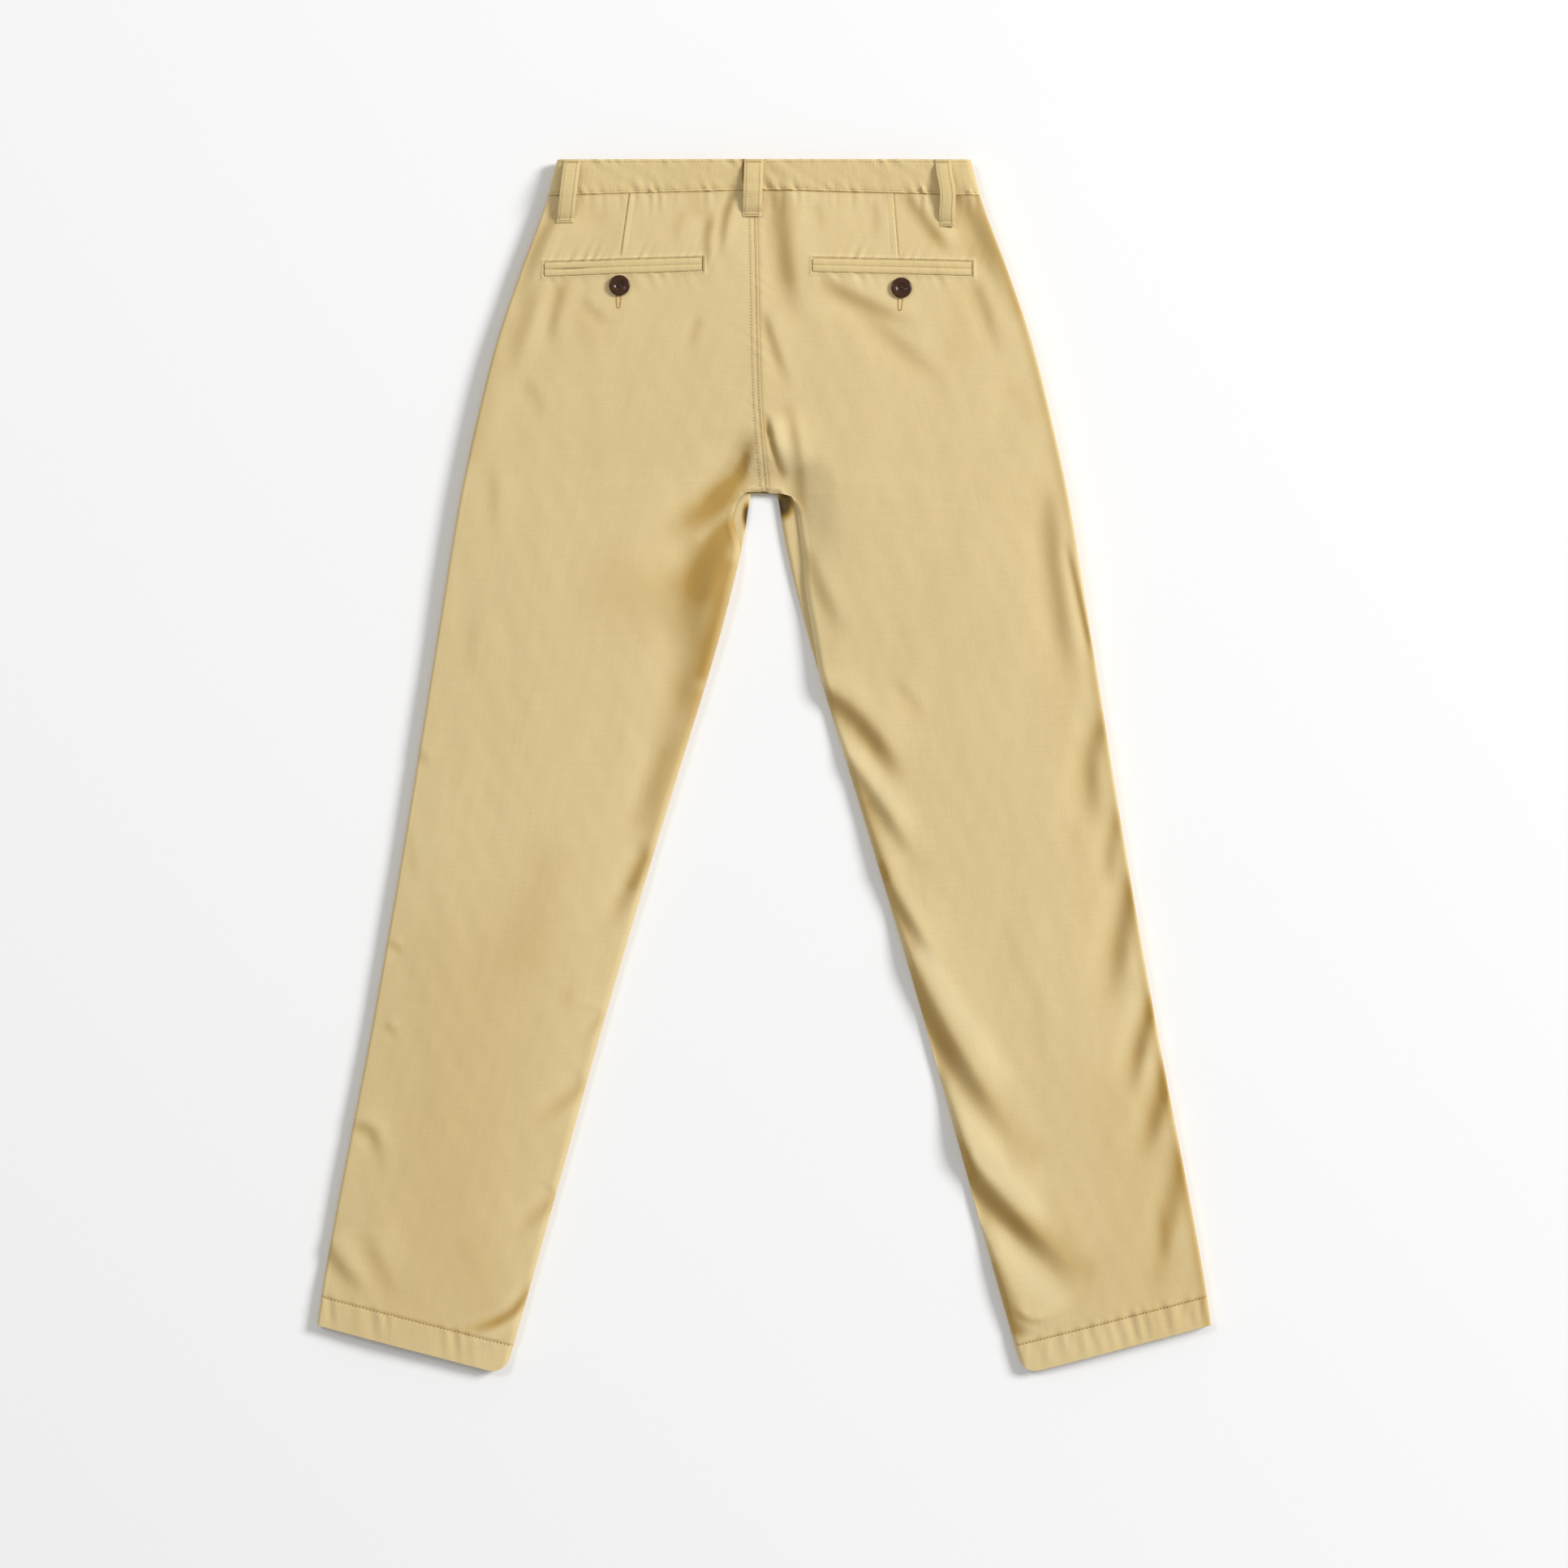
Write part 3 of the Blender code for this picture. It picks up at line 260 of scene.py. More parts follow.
# %% Folds
Fold = namedtuple("Fold", "x0 y0 xm ym x1 y1 drop crest hollow fade_in fade_out")
FOLDS = [Fold(*row) for row in (
    # right leg: crescents that leave the inseam, each under a broad bright crest
    (36, 205, 53, 158, 75, 111, 2.8, 6.0, 9.0, 0.25, 0.5),
    (53, 65, 93, 33, 131, -26, 6.9, 8.0, 11.0, 0.03, 0.4),
    (75, 4, 106, -39, 146, -104, 4.8, 6.0, 9.0, 0.1, 0.5),
    (107, -96, 128, -136, 164, -189, 4.8, 5.5, 8.0, 0.05, 0.5),
    (108, -124, 157, -234, 234, -355, 10.7, 9.0, 13.5, 0.28, 0.42),
    (146, -308, 204, -387, 287, -470, 11.0, 9.5, 13.5, 0.28, 0.38),
    (227, -492, 243, -502, 259, -496, 1.0, 2.4, 2.6, 0.2, 0.4),
    (193, -399, 209, -462, 236, -521, 4.3, 13.0, 6.0, 0.3, 0.1),
    (150, -260, 169, -314, 188, -373, 3.7, 10.0, 5.0, 0.35, 0.2),
    (72, -2, 92, -57, 111, -108, 3.0, 9.0, 5.0, 0.3, 0.2),
    (214, -115, 228, -174, 241, -226, 0.5, 7.0, 8.0, 0.5, 0.5),
    (240, -182, 250, -233, 256, -277, 0.4, 6.0, 7.0, 0.5, 0.5),
    (108, 86, 133, 61, 150, 32, 0.7, 5.0, 6.0, 0.4, 0.5),
    (168, 46, 180, 10, 187, -34, 0.4, 6.0, 7.0, 0.5, 0.5),
    # right leg: soft folds along the side seam
    (259, 267, 265, 164, 287, 52, 3.2, 8.0, 9.0, 0.3, 0.4),
    (272, 212, 286, 148, 301, 83, 1.6, 2.6, 3.0, 0.3, 0.3),
    (310, 46, 297, -5, 307, -67, 4.1, 8.0, 9.0, 0.2, 0.45),
    (322, -31, 315, -77, 312, -123, 2.2, 6.0, 7.0, 0.3, 0.5),
    (336, -101, 325, -157, 316, -226, 5.0, 8.5, 10.0, 0.15, 0.45),
    (355, -210, 342, -254, 334, -304, 4.3, 6.0, 8.0, 0.1, 0.45),
    (368, -265, 358, -311, 341, -365, 4.8, 7.0, 9.0, 0.1, 0.45),
    (381, -339, 371, -395, 355, -461, 2.4, 8.0, 9.0, 0.3, 0.4),
    (358, -387, 362, -424, 366, -458, 0.7, 4.5, 5.0, 0.4, 0.4),
    # left leg: the long hollow that runs down from the crotch, inside the leg
    (-10, 311, -25, 258, -80, 212, 5.0, 6.0, 12.0, 0.35, 0.45),
    (-19, 236, -48, 177, -76, 90, 8.6, 10.0, 17.0, 0.15, 0.62),
    (-28, 223, -63, 164, -95, 54, 3.3, 16.0, 26.0, 0.2, 0.6),
    (-45, 186, -78, 165, -119, 148, 2.0, 10.0, 14.0, 0.3, 0.6),
    (-51, 148, -66, 74, -95, -10, 3.3, 8.0, 15.0, 0.3, 0.5),
    (-73, 42, -95, -17, -120, -88, 2.6, 6.0, 12.0, 0.3, 0.5),
    (-100, -76, -118, -110, -145, -162, 3.2, 6.0, 8.0, 0.2, 0.5),
    (-169, -198, -176, -211, -178, -226, 0.9, 7.0, 7.0, 0.5, 0.5),
    (-144, -223, -154, -239, -169, -255, 0.8, 3.5, 4.5, 0.2, 0.6),
    (-161, -289, -183, -308, -216, -330, 2.0, 5.5, 7.0, 0.1, 0.6),
    (-185, -390, -200, -405, -230, -430, 2.4, 5.0, 7.0, 0.08, 0.6),
    (-213, -478, -241, -504, -286, -511, 3.1, 3.6, 4.5, 0.05, 0.5),
    # left leg: small hooks by the side seam and the hem
    (-372, -327, -351, -337, -345, -382, 1.7, 5.0, 6.0, 0.15, 0.6),
    (-396, -431, -380, -456, -350, -484, 2.6, 6.5, 8.0, 0.1, 0.6),
    (-363, -406, -347, -451, -319, -496, 1.6, 8.0, 9.0, 0.45, 0.55),
    (-247, 282, -243, 237, -244, 193, 0.7, 5.0, 6.0, 0.4, 0.5),
    (-258, 142, -264, 105, -263, 61, 0.6, 6.0, 7.0, 0.4, 0.5),
    (-321, -49, -317, -86, -310, -115, 0.5, 5.0, 6.0, 0.4, 0.5),
    (-338, -157, -332, -164, -323, -165, 0.7, 3.0, 4.0, 0.2, 0.5),
    (-344, -230, -336, -239, -329, -242, 0.6, 3.0, 4.0, 0.3, 0.5),
    (-319, 26, -310, 10, -298, -1, 0.6, 4.0, 5.0, 0.3, 0.5),
    # seat, right of the centre seam
    (15, 514, 20, 458, 34, 392, 3.9, 8.0, 10.0, 0.05, 0.45),
    (0, 415, 10, 378, 27, 336, 1.8, 4.0, 4.5, 0.3, 0.5),
    (43, 445, 87, 420, 152, 393, 3.1, 6.5, 8.5, 0.35, 0.4),
    (77, 411, 121, 382, 177, 330, 1.9, 8.0, 8.0, 0.4, 0.5),
    (131, 514, 150, 487, 171, 459, 2.0, 4.5, 6.0, 0.1, 0.4),
    (176, 517, 200, 473, 224, 399, 4.1, 8.0, 9.5, 0.05, 0.55),
    (200, 517, 224, 459, 241, 382, 2.0, 5.0, 6.0, 0.1, 0.5),
    (186, 449, 202, 409, 214, 361, 2.0, 6.0, 7.0, 0.3, 0.5),
    (46, 509, 52, 493, 53, 473, 0.7, 4.0, 5.0, 0.2, 0.6),
    (99, 509, 102, 490, 100, 468, 0.7, 4.0, 5.0, 0.2, 0.6),
    # seat, left of it
    (-26, 514, -35, 490, -38, 449, 2.0, 3.6, 4.2, 0.1, 0.5),
    (-42, 504, -51, 473, -48, 437, 1.6, 3.6, 4.2, 0.3, 0.5),
    (-182, 502, -203, 467, -221, 411, 2.1, 5.0, 6.0, 0.2, 0.5),
    (-201, 445, -218, 393, -236, 337, 2.0, 7.0, 8.0, 0.3, 0.5),
    (-178, 439, -188, 405, -192, 370, 1.8, 5.0, 6.0, 0.2, 0.5),
    (-216, 358, -205, 333, -192, 311, 0.8, 6.0, 7.0, 0.4, 0.5),
    (-70, 500, -78, 484, -76, 465, 0.7, 4.0, 5.0, 0.2, 0.6),
    (-164, 427, -151, 409, -129, 401, 0.7, 4.0, 5.0, 0.3, 0.5),
    (-56, 408, -61, 390, -66, 371, 0.8, 4.0, 5.0, 0.3, 0.5),
    # crotch: the cloth is pinched where four seams meet
    (2, 320, 8, 287, 21, 254, 5.2, 6.0, 1.5, 0.3, 0.2),
    (19, 332, 31, 277, 38, 179, 2.7, 4.0, 7.0, 0.4, 0.4),
    (-11, 292, -16, 271, -25, 254, 2.0, 3.0, 4.0, 0.4, 0.3),
)]


def fold_forms(x, y):
    """The rise or fall that folds give the cloth at each place, and their painted shade and
    highlight.
    """
    height, colour = np.zeros_like(x), np.zeros_like(x)
    steps = np.linspace(0.0, 1.0, 25)
    for fold in FOLDS:
        reach = max(9.0 * fold.crest, 6.0 * fold.hollow)
        xs, ys = (fold.x0, fold.xm, fold.x1), (fold.y0, fold.ym, fold.y1)
        near = (x > min(xs) - reach) & (x < max(xs) + reach)
        near &= (y > min(ys) - reach) & (y < max(ys) + reach)
        if not near.any():
            continue
        px, py = x[near], y[near]
        (ax, bx), (ay, by) = (
            (4 * m - 3 * a - b, 2 * a + 2 * b - 4 * m) for a, m, b in (xs, ys)
        )
        run_x, run_y = fold.x0 + ax * steps + bx * steps**2, fold.y0 + ay * steps + by * steps**2
        along = steps[((px[:, None] - run_x) ** 2 + (py[:, None] - run_y) ** 2).argmin(axis=1)]
        for _ in range(3):
            dx = fold.x0 + ax * along + bx * along**2 - px
            dy = fold.y0 + ay * along + by * along**2 - py
            tx, ty = ax + 2 * bx * along, ay + 2 * by * along
            turn = np.maximum(tx**2 + ty**2 + 2 * (dx * bx + dy * by), 0.3 * (tx**2 + ty**2))
            along = np.clip(along - (dx * tx + dy * ty) / turn, -0.3, 1.3)
        off = (ty * dx - tx * dy) / np.hypot(tx, ty)
        fade = smoothstep(min(0.0, fold.fade_in - 0.28), fold.fade_in, along)
        fade *= smoothstep(0, fold.fade_out, 1 - along)
        width, tail = np.where(off > 0, fold.crest, fold.hollow), np.where(off > 0, 3.0, 1.5)
        far = np.abs(off) / width
        far = np.where(far > 1, 1 + (far - 1) / tail, far)
        steep = fold.drop / (fold.crest + fold.hollow)
        height[near] += fade * np.sign(off) * steep * width * far * np.exp(0.5 - far**2 / 2)
        # Painted shade in the hollow and on its dark flank; painted highlight on the crest and
        # beyond the hollow.
        painted_shade = ridge(off + 0.2 * fold.hollow, 0.6 * (fold.hollow + fold.crest))
        pale = 0.75 * ridge(off - 2.1 * fold.crest, 1.3 * fold.crest)
        pale += 0.35 * ridge(off + 2.2 * fold.hollow, fold.hollow)
        colour[near] += fade * (steep * pale - 0.84 * min(1.0, 2.3 * steep) * painted_shade)
    return height, colour


# Painted shade along strips with a number below 0, painted highlight along those above 0.
SHADES = (                  # soft strips between two points, half width, then depth or paling
    (-19, 258, -66, 223, 13, -0.42),
    (-45, 246, -78, 211, 15, -0.24),
    (-28, 232, -57, 207, 5, 0.34),
    (-36, 207, -57, 161, 17, -0.36),
    (-45, 149, -67, 68, 22, -0.22),
    (-67, 68, -83, 32, 15, -0.15),
    (-73, 146, -125, 159, 38, -0.23),
    (-91, 10, -111, -49, 9, -0.2),
    (-10, 293, -22, 265, 5, -0.16),
    (-13, 284, -12, 268, 2.5, 0.4),
    (-31, 179, -55, 83, 8, -0.6),
    (-58, 64, -119, -108, 6, -0.35),
    (195, -293, 240, -351, 13, -0.22),
    (238, -415, 289, -455, 16, -0.32),
    (208, -453, 228, -512, 6, -0.36),
    (172, -310, 190, -369, 5, -0.24),
    (93, -35, 111, -101, 5, -0.3),
    (377, -351, 358, -461, 9, -0.2),
    (388, -387, 412, -483, 8, -0.16),
    (146, -174, 219, -279, 9, 0.36),
    (164, -295, 209, -365, 10, 0.42),
    (196, -352, 245, -398, 9, 0.36),
    (212, -424, 263, -483, 12, 0.34),
    (102, -123, 125, -174, 7, 0.3),
    (69, 21, 131, -49, 10, 0.25),
    (33, 223, 45, 112, 3.5, 0.3),
    (201, 501, 227, 414, 12, -0.2),
    (175, 491, 189, 458, 6, -0.2),
    (-222, 473, -239, 414, 14, -0.12),
    (-239, 399, -266, 282, 10, -0.22),
    (-214, 546, -225, 502, 9, -0.12),
    (23, 503, 22, 440, 8, -0.2),
    (120, 508, 150, 481, 12, -0.13),
    (158, 477, 186, 462, 10, -0.16),
    (-62, 516, -50, 486, 7, -0.16),
    (-180, 425, -160, 395, 14, -0.12),
    (-168, 512, -150, 496, 8, -0.12),
    (229, 339, 241, 318, 10, -0.1),
    (242, 225, 312, -215, 17, -0.09),
    (-196, -95, -214, -165, 26, -0.14),
    (-270, -200, -310, -483, 78, -0.17),
    (337, -306, 359, -483, 60, -0.19),
    (255, -396, 274, -424, 12, -0.18),
    (268, -456, 289, -480, 12, -0.1),
    (-262, -440, -246, -500, 16, -0.1),
    (179, 420, 173, 376, 16, -0.13),
)


def soft_shades(x, y):
    """Painted shade along strips where the cloth lies in soft shade, painted highlight along
    others.
    """
    total = np.zeros_like(x)
    for x0, y0, x1, y1, half, strength in SHADES:
        dx, dy = x1 - x0, y1 - y0
        share = np.clip(((x - x0) * dx + (y - y0) * dy) / (dx * dx + dy * dy), 0.0, 1.0)
        away = np.hypot(x - x0 - share * dx, y - y0 - share * dy)
        total += strength * ridge(away, half)
    return total


print("folds:", len(FOLDS), "shades:", len(SHADES))

# %% [markdown]
# ## Small waves in the cloth
# Between the folds, washed twill is never quite flat, and along a seam the thread draws it up
# into short puckers. Both are sums of a few sine waves with seeded phases, which is the same on
# every run. Puckers are strongest at the seam and die away in about a centimetre.

# %% Waves and puckers
dice = random.Random(7)
SWING = 0.6                 # how far a wave may turn away from the straight, in radians
WAVE_SIZE = 0.18


def wave_set(count, longest, shortest):
    """Directions, wave lengths and phases for a patch of gentle waves."""
    return [
        (
            dice.uniform(-SWING, SWING),
            longest * (shortest / longest) ** (i / (count - 1)),
            dice.uniform(0, math.tau),
        )
        for i in range(count)
    ]


CLOTH_WAVES = wave_set(14, 130.0, 15.0)
PUCKER_WAVES = wave_set(5, 15.0, 7.0)


def soft_waves(x, y):
    total = np.zeros_like(x)
    for angle, length, phase in CLOTH_WAVES:
        run = x * math.cos(angle) + y * math.sin(angle)
        drift = 0.8 * np.sin((x * math.sin(angle) - y * math.cos(angle)) / (1.7 * length))
        total += (length / 150.0) ** 0.8 * np.sin(math.tau * run / length + phase + drift)
    return WAVE_SIZE * total


def puckers(along, away, size, reach):
    """Ripples across a seam: along runs with the seam and away is the distance from it."""
    total = np.zeros_like(along)
    for angle, length, phase in PUCKER_WAVES:
        total += np.sin(math.tau * along / length + phase + 0.06 * away * math.sin(3 * angle))
    patch = 0.6 + 0.4 * np.sin(along / 37.0 + 1.3) * np.sin(along / 13.0)
    return size * patch * total / 2 * ridge(away, reach)


print("longest wave:", CLOTH_WAVES[0][1], "shortest pucker:", round(PUCKER_WAVES[-1][1], 1))

# %% [markdown]
# ## Rows across a panel
# Every row runs from the side seam to the inner line: the centre seam above the crotch and the
# inseam below it. Rows are closer together where the form turns fast, at the waist, the crotch
# and the hem, and so are the points of each row near its two ends.

# %% Rows and columns
def centre_back(side, y):
    return centre_back_x(y) + side * SEAM / 2


FLY_BOTTOM, FLY_RISE, FLY_OVERLAP, FLY_RAMP = 352.0, 300.0, 6.0, (2.5, 11.0)


def centre_front(side, y):
    """The left front reaches the fly's edge; the right one lies behind it."""
    behind = FLY_OVERLAP * smoothstep(FLY_RISE + 2.0, FLY_BOTTOM, y)
    return side * SEAM / 2 - (behind if side == RIGHT else 0.0)


class Rows:
    """Lines across a panel, from the side seam to the inner line, one for each side_y."""

    def __init__(self, side, side_y, centre, start=0.0):
        self.side, self.side_y = side, side_y
        self.x0, self.y0 = side * (side_x(side_y) - start), side_y
        self.y1 = inner_y(side_y)
        middle = centre(side, self.y1)
        low = CROTCH_Y - CROTCH_DROP
        edge = middle + (CROTCH_Y - self.y1) / CROTCH_DROP * (side * CROTCH_HALF - middle)
        leg = side * inseam_x(self.y1)
        self.x1 = np.where(self.y1 >= CROTCH_Y, middle, np.where(self.y1 >= low, edge, leg))
        self.width = np.hypot(self.x1 - self.x0, self.y1 - self.y0)
        self.bend = CROTCH_BEND * window(self.y1, *ROW_BEND)

    def place(self, distance):
        """Plan position at each distance from the side seam; rows down, columns across."""
        width, bend = self.width[:, None], self.bend[:, None]
        x0, y0, x1, y1 = (a[:, None] for a in (self.x0, self.y0, self.x1, self.y1))
        share = distance / width
        x = x0 + share * (x1 - x0)
        y = y0 + share * (y1 + bend - y0)
        near = np.maximum(1 - (width - distance) / CROTCH_REACH, 0.0)
        y = y - bend * near * near
        tilt = math.atan2(
            HEM_END.in_y - HEM_END.side_y, inseam_x(HEM_END.in_y) - side_x(HEM_END.side_y)
        )
        from_hem = (self.side_y[:, None] - HEM_END.side_y) * -math.cos(tilt)
        a = np.maximum(HEM_CORNER - (width - distance), 0.0)
        b = np.maximum(HEM_CORNER - from_hem, 0.0)
        corner = (a > 0) & (b > 0)
        pull = np.where(corner, 1 - np.maximum(a, b) / np.maximum(np.hypot(a, b), 1e-6), 0.0)
        run_x, run_y = (x0 - x1) / width, (y0 - y1) / width
        x = x + pull * (a * run_x - b * run_y * self.side)
        y = y + pull * (a * run_y + b * run_x * self.side)
        return x, y


def spread(start, end, step):
    return np.linspace(start, end, max(int(abs(end - start) / step), 1) + 1)


def columns(*parts):
    return np.concatenate(parts, axis=1)


def steps_down(start, end, step, fine_start=True, fine_end=True):
    """Places from start down to end, closer together at a sewn end."""
    fine = np.array([0.0, 0.7, 1.5, 2.5, 3.8, 5.4])
    first = start - (fine if fine_start else fine[:1])
    last = end + (fine if fine_end else fine[:1])[::-1]
    count = max(int((first[-1] - last[0]) / step), 1)
    middle = np.linspace(first[-1], last[0], count + 1)[1:-1]
    return np.concatenate((first, middle, last))


EDGE_STEPS = np.array([0.0, 0.5, 1.1, 1.9, 2.9, 4.1, 5.5, 7.0, 8.6, 10.4])


def steps_across(width, step):
    """Distances from the side seam for each row, closer together near both edges."""
    first = np.tile(EDGE_STEPS, (len(width), 1))
    last = width[:, None] - EDGE_STEPS[::-1][None]
    count = int((width.max() - 2 * EDGE_STEPS[-1]) / step)
    share = np.linspace(0, 1, count + 1)[1:-1][None]
    middle = first[:, -1:] + share * (last[:, :1] - first[:, -1:])
    return columns(first, middle, last)


def crown(rows, from_side, from_inner):
    """The slow rise across: over one leg, or over the whole seat above the crotch."""
    across = np.maximum(from_side + np.maximum(from_inner, 0.0), 1.0)
    leg = np.sin(math.pi * np.clip(from_side / across, 0.0, 1.0)) ** 0.8
    seat = np.sin(math.pi / 2 * np.clip(from_side / rows.width[:, None], 0.0, 1.0)) ** 0.8
    blend = smoothstep(*SEAT_BLEND, rows.y1)[:, None]
    return leg + blend * (seat - leg)


FELL_WIDTH = 7.0            # the felled centre seam: a doubled band on the left back
FELL_ROWS = (2.5, 6.8)      # its two rows of stitches, from its folded edge


def felled_seam(side, x, y):
    """The raised band of the felled centre back seam, and the hollow of its stitches."""
    from_seam = centre_back_x(y) - x
    above = smoothstep(CROTCH_Y - 2.0, CROTCH_Y + 6.0, y)
    if side == RIGHT:
        return -0.5 * above * ridge(from_seam, 1.8)
    band = smoothstep(FELL_WIDTH + 0.9, FELL_WIDTH - 0.6, from_seam)
    pipe = ridge(from_seam - 0.7, 0.75)
    threads = ridge(from_seam - FELL_ROWS[0], 0.8) + ridge(from_seam - FELL_ROWS[1], 0.9)
    ripple = np.sin((y + 1.6 * from_seam) * math.tau / 7.3) + 0.6 * np.sin(y * math.tau / 11.9)
    ripple = ripple * 0.1 * band * (1 + 1.3 * smoothstep(320.0, 260.0, y))
    return above * (0.75 * band + 0.55 * pipe + ripple - 0.32 * threads)


POCKET_LINE = curve((30.0, 444.0), (44.0, 450.0), (198.0, 447.0), (212.0, 441.0))
POCKET_DRAWN = (38.0, 54.0, 196.0, 212.0)   # how far from the middle a pocket draws the cloth
HEM_DRAWN = (-9.0, 3.0, 12.0, 31.0)         # how far under its stitches the hem is drawn
HEM_STROKES = {             # where the hem's cloth is drawn into short slanting ridges: x, drop
    LEFT: ((-268, 0.8), (-277, 1.1), (-291, 0.5), (-352, 0.6), (-371, 0.5), (-391, 0.9)),
    RIGHT: (
        (249, 0.6), (267, 0.7), (283, 0.8), (297, 0.9), (309, 0.8), (321, 1.0), (334, 1.9),
        (344, 1.6), (352, 0.7), (363, 1.2), (384, 1.0), (393, 0.7),
    ),
}


def hem_strokes(side, x, below):
    """Short ridges across the turned-up hem; below is the distance under its stitch line."""
    total = np.zeros_like(x)
    for place, drop in HEM_STROKES[side]:
        off = (x - place - 0.26 * below * (1 if side == RIGHT else 0.3)) / 3.4
        total += 0.75 * drop * off * np.exp(0.5 - off * off / 2)
    return total * window(below, *HEM_DRAWN)


def back_height(rows, x, y, from_side):
    """Height of the back's outer face."""
    side_y = rows.side_y[:, None]
    low = seam_z(side_y) + SEAM / 2 + RIM
    from_inner = to_inner_line(x, y) - inset_at(rows.side, y)
    crisp = window(y, *CRISP_EDGE)
    round_side = quarter_ellipse(from_side / (0.3 * shoulder(side_y)))
    plump = quarter_ellipse(from_inner / (0.7 * shoulder(side_y)))
    lip = 0.1 * quarter_ellipse(from_inner / 0.6) + 0.1 * smoothstep(0.3, 5.5, from_inner)
    lip = lip + 0.07 * ridge(from_inner - 4.2, 2.4)
    thin = lip + 0.8 * smoothstep(5.0, 55.0, to_inner_line(x, y))
    edges = round_side * (plump + crisp * (thin - plump))
    rise = top_z(side_y) - low
    slow = crown(rows, from_side, from_inner)
    height = low + rise * edges * (0.62 + 0.38 * slow)
    fine = fold_forms(x, y)[0] + soft_waves(x, y)
    away = x - centre_back_x(y)
    centre = puckers(y + 0.8 * away, away, 0.22, 15.0) * smoothstep(CROTCH_Y, CROTCH_Y + 9.0, y)
    to_waist = np.maximum(rows.side_y[0] - side_y, 0.0)
    waist = puckers(x, to_waist, 0.55, 13.0) * smoothstep(0.0, 2.5, to_waist)
    from_pocket = y - POCKET_LINE(np.abs(x)) - 9.0
    drawn = puckers(x + 60 - 0.5 * from_pocket, from_pocket, 0.56, 12.0)
    drawn += puckers(0.7 * x - 25 + 0.3 * from_pocket, from_pocket + 18.0, 0.36, 9.0)
    drawn *= window(np.abs(x), *POCKET_DRAWN)
    to_hem = HEM_LINE.side_y - side_y
    groove = -0.45 * ridge(to_hem, 1.2)
    fine = fine + centre + waist + drawn + hem_strokes(rows.side, x, to_hem)
    return height + edges * fine + groove + felled_seam(rows.side, x, y)


def front_height(rows, from_side, from_inner):
    """Height of the front's outer face, which looks down."""
    side_y = rows.side_y[:, None]
    base = base_z(side_y)
    high = seam_z(side_y) - SEAM / 2 - RIM
    wider = smoothstep(430.0, WAIST_SIDE_Y, side_y)
    side_radius = CURL + wider * (float(shoulder(WAIST_SIDE_Y)) - CURL)
    turned = 1 - quarter_ellipse(from_side / side_radius) * quarter_ellipse(from_inner / CURL)
    return base + (high - base) * turned


CROTCH_TURN = 4.0


def crotch_turn(y):
    """0 on the centre seam, 1 where the inner edge turns over and meets the other face."""
    return 1 - smoothstep(CROTCH_Y, CROTCH_Y + CROTCH_TURN, y)


print("crotch turns over in", CROTCH_TURN, "mm; hem line at", HEM_LINE.side_y)

# %% [markdown]
# ## Twill and its wash
# Chino cloth is a fine twill: the weave shows as close diagonal ribs. Uneven yarn makes faint
# streaks both ways. The crests of folds get painted highlight, and the hollows painted shade in a
# deeper, warmer tone, as if lit by the cloth beside them. The weave and the colour with its
# painted light are node groups, because every cloth piece uses them. They read the cloth's own
# UV map, in metres, so that the ribs bend with each panel.

# %% Weave, and colour with painted light, as node groups
RIB_PITCH = 0.0011          # metres from one rib of the twill to the next
# Painted shade: the dark colour multiplied in where the painted shade is deepest.
DEEP_SHADE = (0.2, 0.2, 0.22, 1)


def fill(tree, made, **values):
    """A node's settings and sockets take values, or links from other sockets."""
    for key, value in values.items():
        if hasattr(made, key) and not key[0].isupper():
            setattr(made, key, value)
            continue
        name = key.replace("__", " ")
        socket = made.inputs[int(name[1:])] if name[0] == "_" else made.inputs[name]
        if isinstance(value, bpy.types.NodeSocket):
            tree.links.new(value, socket)
        else:
            socket.default_value = value
    return made


def node(tree, kind, **values):
    return fill(tree, tree.nodes.new(kind), **values)


def maths(tree, operation, *terms):
    sockets = {f"_{i}": term for i, term in enumerate(terms)}
    return node(tree, "ShaderNodeMath", operation=operation, **sockets).outputs[0]


def mixed(tree, share, first, second, blend="MIX"):
    """Two colours mixed: the share is how much of the second one there is."""
    kind = {"data_type": "RGBA", "blend_type": blend}
    return node(tree, "ShaderNodeMix", **kind, _0=share, _6=first, _7=second).outputs[2]


def stretched_noise(tree, cloth, across, along, detail=2.0):
    """Noise drawn out one way: across and along are its repeats for each metre."""
    mapping = node(tree, "ShaderNodeMapping", Vector=cloth, Scale=(across, along, 1.0))
    noise = node(tree, "ShaderNodeTexNoise", Vector=mapping.outputs[0], Scale=1.0, Detail=detail)
    return noise.outputs["Fac"]


def new_group(name, inputs, outputs):
    """A node group, with the kind of each of its named sockets."""
    group = bpy.data.node_groups.new(name, "ShaderNodeTree")
    for way, sockets in (("INPUT", inputs), ("OUTPUT", outputs)):
        for title, kind in sockets.items():
            group.interface.new_socket(title, in_out=way, socket_type=f"NodeSocket{kind}")
    return group, group.nodes.new("NodeGroupInput").outputs, group.nodes.new("NodeGroupOutput")


